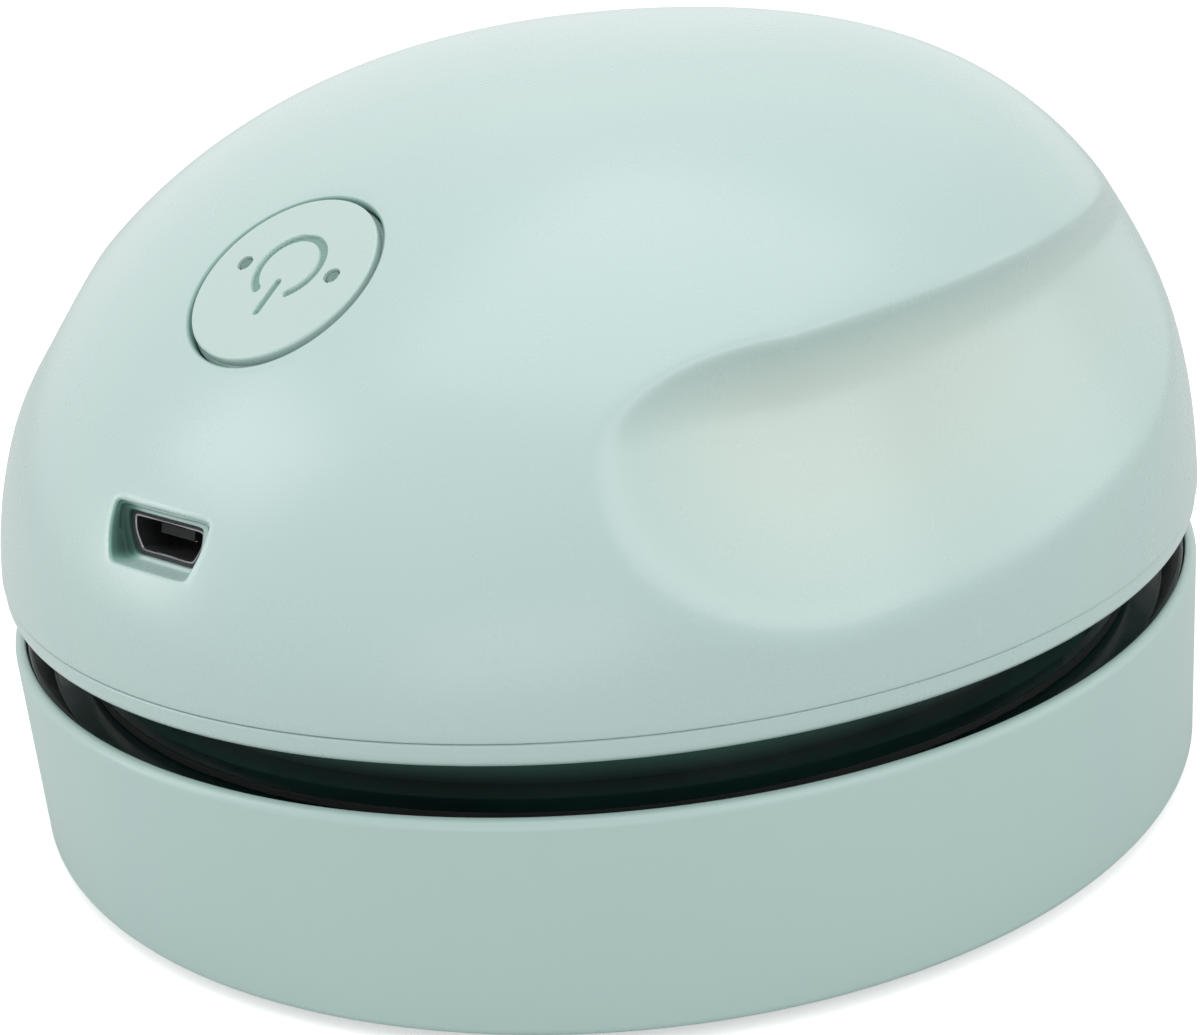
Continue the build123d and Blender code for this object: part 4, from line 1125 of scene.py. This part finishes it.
def socket_shade_collar():
    """A dark collar between the socket's tube and the cover, a little under the recess's floor: a dark piece
    standing in for the shade in the gap round the socket.
    """
    direction = turns_round(160)
    outer = port_outline(port_clear - shade_collar_ease, port_clear - shade_collar_ease)(direction)
    inner = port_outline(-socket_gap - shade_collar_ease, -socket_gap - shade_collar_ease)(direction)
    skin = Skin()
    skin.grid(port_plane.rings(direction, [
        (inner, shade_collar_back), (outer, shade_collar_back), (outer, shade_collar_outside), (inner, shade_collar_inside),
        (inner, shade_collar_back)]))
    return skin.build("socket_shade_collar", 35)


finish_piece(socket_shell(), "head", "steel", "usb_socket")
# A dark piece standing in for the shade in the gap round the socket's lip.
finish_piece(socket_shade_collar(), "head", "rubber")


# ---------------------------------------------------------------- the dust cup
def stadium(direction, width, length):
    """Reach of a slot with round ends: its straight side over the sine, or its end's circle."""
    radius, straight = width / 2, (length - width) / 2
    across, along = np.abs(np.sin(direction)), np.abs(np.cos(direction))
    end = straight * along + np.sqrt(np.maximum(radius ** 2 - (straight * across) ** 2, 0))
    return np.where(radius * along <= straight * across, radius / np.maximum(across, 1e-9), end)


def cup_tray():
    """The cup: up the slot's chimney, over its floor, up its stepped wall, over the rim and back below."""
    direction = turns_round(400)
    slot = stadium(direction, slot_width, slot_length)
    wall = stadium(direction, slot_width + 2 * chimney_wall, slot_length + 2 * chimney_wall)
    floor = cup_bottom + cup_floor
    top = floor + chimney_height
    inside = body_radius - cup_wall
    ledge, step = lid_low[2], lid_high[2]
    rows = [(slot + slot_edge, cup_bottom), (slot, cup_bottom + slot_edge), (slot, top - slot_edge),
            (slot + slot_edge, top), (wall - slot_edge, top), (wall, top - slot_edge),
            (wall, floor + chimney_foot), (wall + 0.18, floor + 0.18), (wall + chimney_foot, floor)]
    foot = wall + chimney_foot
    rows += [(foot + (inside - floor_margin - wall - chimney_foot) * s, floor) for s in (0.35, 0.7)]
    rows += list(rounded([
        (inside, floor, 1.2), (inside, ledge - ledge_height - ledge_width, 0.3),
        (inside - ledge_width, ledge - ledge_height, 0.2), (inside - ledge_width, ledge, 0.15),
        (inside, ledge, 0.1), (inside, step, 0.1), (rim_inside, step + step_rise, 0.2),
        (rim_inside, cup_top, 0.15), (body_radius, cup_top, rim_round),
        (body_radius, cup_bottom, cup_foot_round), (slot_length, cup_bottom, 0)], 8)[:-1])
    last = body_radius - cup_foot_round
    rows += [(last + (slot + slot_edge - last) * s, cup_bottom) for s in (0.35, 0.7, 1.0)]
    skin = Skin()
    skin.grid([level_row(direction, reach, level) for reach, level in rows], flip=True)
    return skin.build("cup_tray", 30)


def lid_plate():
    """The lid: a flat ring round the collar, whose edge stands up along the wall to just under the rim."""
    low, high = lid_low[2], lid_high[2]
    edge = body_radius - cup_wall - lid_clear
    trim_top = cup_top - trim_drop
    outside, inside = rim_inside - trim_clear, rim_inside - trim_inset
    corners = [(lid_mouth, low, 0.15), (edge, low, 0.15), (edge, high, 0.05),
               (outside, high + step_rise, 0.15), (outside, trim_top, 0.1), (inside, trim_top, 0.1),
               (inside, high + 1.5, 0.2), (edge - 0.5, high, 0.4), (lid_mouth, high, 0.35)]
    # Marked 1, so the collar's painted reflection stays off the lid.
    return lathe("lid_plate", corners, 320, 4, 1.0)


def rim_band():
    """The head's lower edge: a thin band over the floor's rim, rounded below and eased at the seam."""
    outer = band_radius + band_out
    low, high = head_bottom - band_sink, parting - band_sink
    corners = [(outer - band_foot, low, 0), (outer, low, band_round), (outer, high, seam_ease),
               (outer - band_wall, high, 0), (outer - band_wall, low + 1.4, 0),
               (outer - band_foot, low + 0.1, 0)]
    return lathe("rim_band", corners, 360, 14)


def brush_bars():
    """Two bars and their tufts. A bar's outline is a superellipse, nearly a box with rounded corners.

    Each tuft is a sunflower spiral of fine hairs that lean out a little and end in a blunt tip.
    """
    low, high = node_box("brush_strips")
    half, width = high[0], brush_width / 2 - brush_clear
    turn = turns_round(64) + np.pi / 64
    along, across = (np.sign(wave) * np.abs(wave) ** bar_power for wave in (np.cos(turn), np.sin(turn)))
    along, across = along / along.max(), across / across.max()
    top = high[2] - cup_bottom
    section = ((0, 0, 0), (1, bar_edge, 0), (1, 0, bar_edge), (1, 0, top), (0, 0, top))
    skin = Skin()
    for side in (-1, 1):
        skin.grid([np.stack([share * (half - inset) * along,
                             side * brush_offset + share * (width - inset) * across,
                             0 * along + cup_bottom + out], -1) for share, inset, out in section])
    count = int(round(2 * half / tuft_pitch)) - 1
    x = (np.arange(count) - (count - 1) / 2) * tuft_pitch
    hair = np.arange(hairs)
    lean = np.sqrt((hair + 0.5) / hairs) * tuft_radius
    angle = hair * golden_turn
    foot = np.stack(np.meshgrid(x, [-brush_offset, brush_offset], [0.0], indexing="ij"), -1).reshape(-1, 1, 3)
    offset = np.stack([lean * np.cos(angle), lean * np.sin(angle), 0 * lean], -1)
    level = np.array([cup_bottom + 0.3, (cup_bottom + low[2]) / 2, low[2] + 0.03, low[2]])
    spread = np.array([0.75, 0.88, 1.0, 1.0])
    thick = hair_radius * np.array([1.0, 1.0, 0.8, 0.0])
    turn = turns_round(6)
    circle = np.stack([np.cos(turn), -np.sin(turn), 0 * turn], -1)
    centre = foot[:, :, None, :] + offset[None, :, None, :] * spread[None, None, :, None]
    centre = centre + np.stack([0 * level, 0 * level, level], -1)
    tubes = centre[:, :, :, None, :] + thick[None, None, :, None, None] * circle
    cap = np.repeat(centre[:, :, :1, None, :], len(turn), axis=3)
    skin.grid(np.concatenate([cap, tubes], axis=2).reshape(-1, 5, len(turn), 3))
    return skin.build("brush_bars", 40)


def glide_pads():
    """Four round pads: a flat sole with a rounded edge and a shallow ring pressed into it."""
    high = node_box("glide_feet")[1][2]
    radius = foot_radius - 0.1
    section = [(0, 0), (0.58 * radius, 0), (0.62 * radius, foot_ring_depth), (0.7 * radius, foot_ring_depth),
               (0.74 * radius, 0)]
    section += [(radius - foot_edge + foot_edge * math.sin(a), foot_edge - foot_edge * math.cos(a))
                for a in np.linspace(0, np.pi / 2, 5)]
    section += [(radius, high), (0, high)]
    skin = Skin()
    for turn in (45, 135, 225, 315):
        skin.grid(upright_seat(turn, body_radius - foot_inset, 0).rings(turns_round(56), section))
    return skin.build("glide_pads", 40)


finish_piece(rim_band(), "head", "mint_shell")
finish_piece(brush_bars(), "base", "bristle", "brush_strips")
finish_piece(glide_pads(), "base", "rubber", "glide_feet")
finish_piece(cup_tray(), "base", "mint_cup", "dust_cup")
finish_piece(lid_plate(), "base", "black_gloss", "lid_ring")


# ---------------------------------------------------------------- camera
camera_azimuth = 41.668
camera_elevation = 21.248
camera_roll = -5.188
camera_distance = 166.885
camera_target = 24.11
camera_right = 0.625
camera_up = -5.59
camera_focal = 2067.9 / 1200.0
sensor_width = 36.0
nearest_seen = 0.005


def toward(azimuth, elevation):
    """The direction to a place seen at an azimuth from the nose and an elevation, in radians."""
    return Vector((math.sin(azimuth) * math.cos(elevation), -math.cos(azimuth) * math.cos(elevation),
                   math.sin(elevation)))


def add_camera():
    """The camera stands round the object at an azimuth and elevation, rolled about its own axis."""
    azimuth, elevation, roll = (math.radians(a) for a in (camera_azimuth, camera_elevation, camera_roll))
    back = toward(azimuth, elevation)
    right = Vector((math.cos(azimuth), math.sin(azimuth), 0))
    up = back.cross(right)
    tilted_right = right * math.cos(roll) + up * math.sin(roll)
    tilted_up = up * math.cos(roll) - right * math.sin(roll)
    place = Vector((0, 0, camera_target)) + back * camera_distance
    place += tilted_right * camera_right + tilted_up * camera_up
    data = bpy.data.cameras.new("camera")
    data.sensor_fit = "HORIZONTAL"
    data.sensor_width = sensor_width
    data.lens = camera_focal * sensor_width
    data.clip_start = nearest_seen
    camera = bpy.data.objects.new("camera", data)
    turn = Matrix((tilted_right, tilted_up, back)).transposed()
    camera.matrix_world = Matrix.Translation(place * MM) @ turn.to_4x4()
    bpy.context.scene.collection.objects.link(camera)
    bpy.context.scene.camera = camera


# ---------------------------------------------------------------- light and floor
panel_target = 25
world_light = 0.58
floor_glow = 0.45
floor_reach = 3000
# Name, azimuth and elevation in degrees, distance, width and height in millimetres, and watts.
panels = (
    ("overhead_panel", 0, 88, 520, 460, 460, 0.84),
    ("left_panel", -46, 38, 520, 220, 180, 0.27),
    ("low_left_panel", -48, 13, 560, 180, 120, 0.22),
    ("low_front_panel", 25, 8, 600, 400, 200, 0.25),
    ("right_front_panel", 75, 38, 600, 360, 260, 0.42),
    ("right_panel", 125, 25, 700, 420, 320, 0.34),
    ("top_right_panel", 110, 58, 600, 420, 320, 0.17),
    ("back_panel", 205, 60, 520, 460, 460, 0.1),
)


def add_panel(name, azimuth, elevation, distance, width, height, watts):
    """A soft light panel that faces the object from a direction, all sizes in millimetres."""
    away = toward(math.radians(azimuth), math.radians(elevation))
    data = bpy.data.lights.new(name, "AREA")
    data.shape = "RECTANGLE"
    data.size = width * MM
    data.size_y = height * MM
    data.energy = watts
    panel = bpy.data.objects.new(name, data)
    panel.location = (away * distance + Vector((0, 0, panel_target))) * MM
    panel.rotation_euler = away.to_track_quat("Z", "Y").to_euler()
    bpy.context.scene.collection.objects.link(panel)


def add_world(level):
    """Even soft light from all round. The camera, glossy and clear surfaces see it as plain white."""
    world = bpy.data.worlds.new("studio")
    bpy.context.scene.world = world
    world.use_nodes = True
    tree = world.node_tree
    light = tree.nodes["Background"]
    light.inputs["Strength"].default_value = level
    white = tree.nodes.new("ShaderNodeBackground")
    white.inputs["Color"].default_value = (1, 1, 1, 1)
    rays = tree.nodes.new("ShaderNodeLightPath")
    light.inputs["Color"].default_value = (1, 1, 1, 1)
    mix = tree.nodes.new("ShaderNodeMixShader")
    tree.links.new(rays.outputs["Is Camera Ray"], mix.inputs[0])
    for kind in ("Is Glossy Ray", "Is Transmission Ray"):
        either = tree.nodes.new("ShaderNodeMath")
        either.operation = "MAXIMUM"
        tree.links.new(mix.inputs[0].links[0].from_socket, either.inputs[0])
        tree.links.new(rays.outputs[kind], either.inputs[1])
        tree.links.new(either.outputs[0], mix.inputs[0])
    tree.links.new(light.outputs[0], mix.inputs[1])
    tree.links.new(white.outputs[0], mix.inputs[2])
    tree.links.new(mix.outputs[0], tree.nodes["World Output"].inputs["Surface"])


def add_floor(reach):
    """Plain white table top that keeps the object's shadow."""
    mesh = bpy.data.meshes.new("floor")
    edge = np.array([[-1, -1, 0], [1, -1, 0], [1, 1, 0], [-1, 1, 0]]) * reach * MM
    mesh.from_pydata(edge.tolist(), [], [[0, 1, 2, 3]])
    finish = Finish("table_white", paint(228, 228, 228), 0.8)
    seen = finish.node("ShaderNodeLightPath", {}, {}).outputs["Is Camera Ray"]
    finish.set("Base Color", finish.mix(seen, paint(220, 220, 220), (1, 1, 1, 1)))
    finish.set("Emission Color", finish.mix(seen, (0, 0, 0, 1), (1, 1, 1, 1)))
    finish.set("Emission Strength", floor_glow)
    mesh.materials.append(finish.material)
    floor = bpy.data.objects.new("floor", mesh)
    bpy.context.scene.collection.objects.link(floor)


bpy.context.scene.view_settings.view_transform = "Standard"
add_camera()
add_world(world_light)
for panel in panels:
    add_panel(*panel)
add_floor(floor_reach)
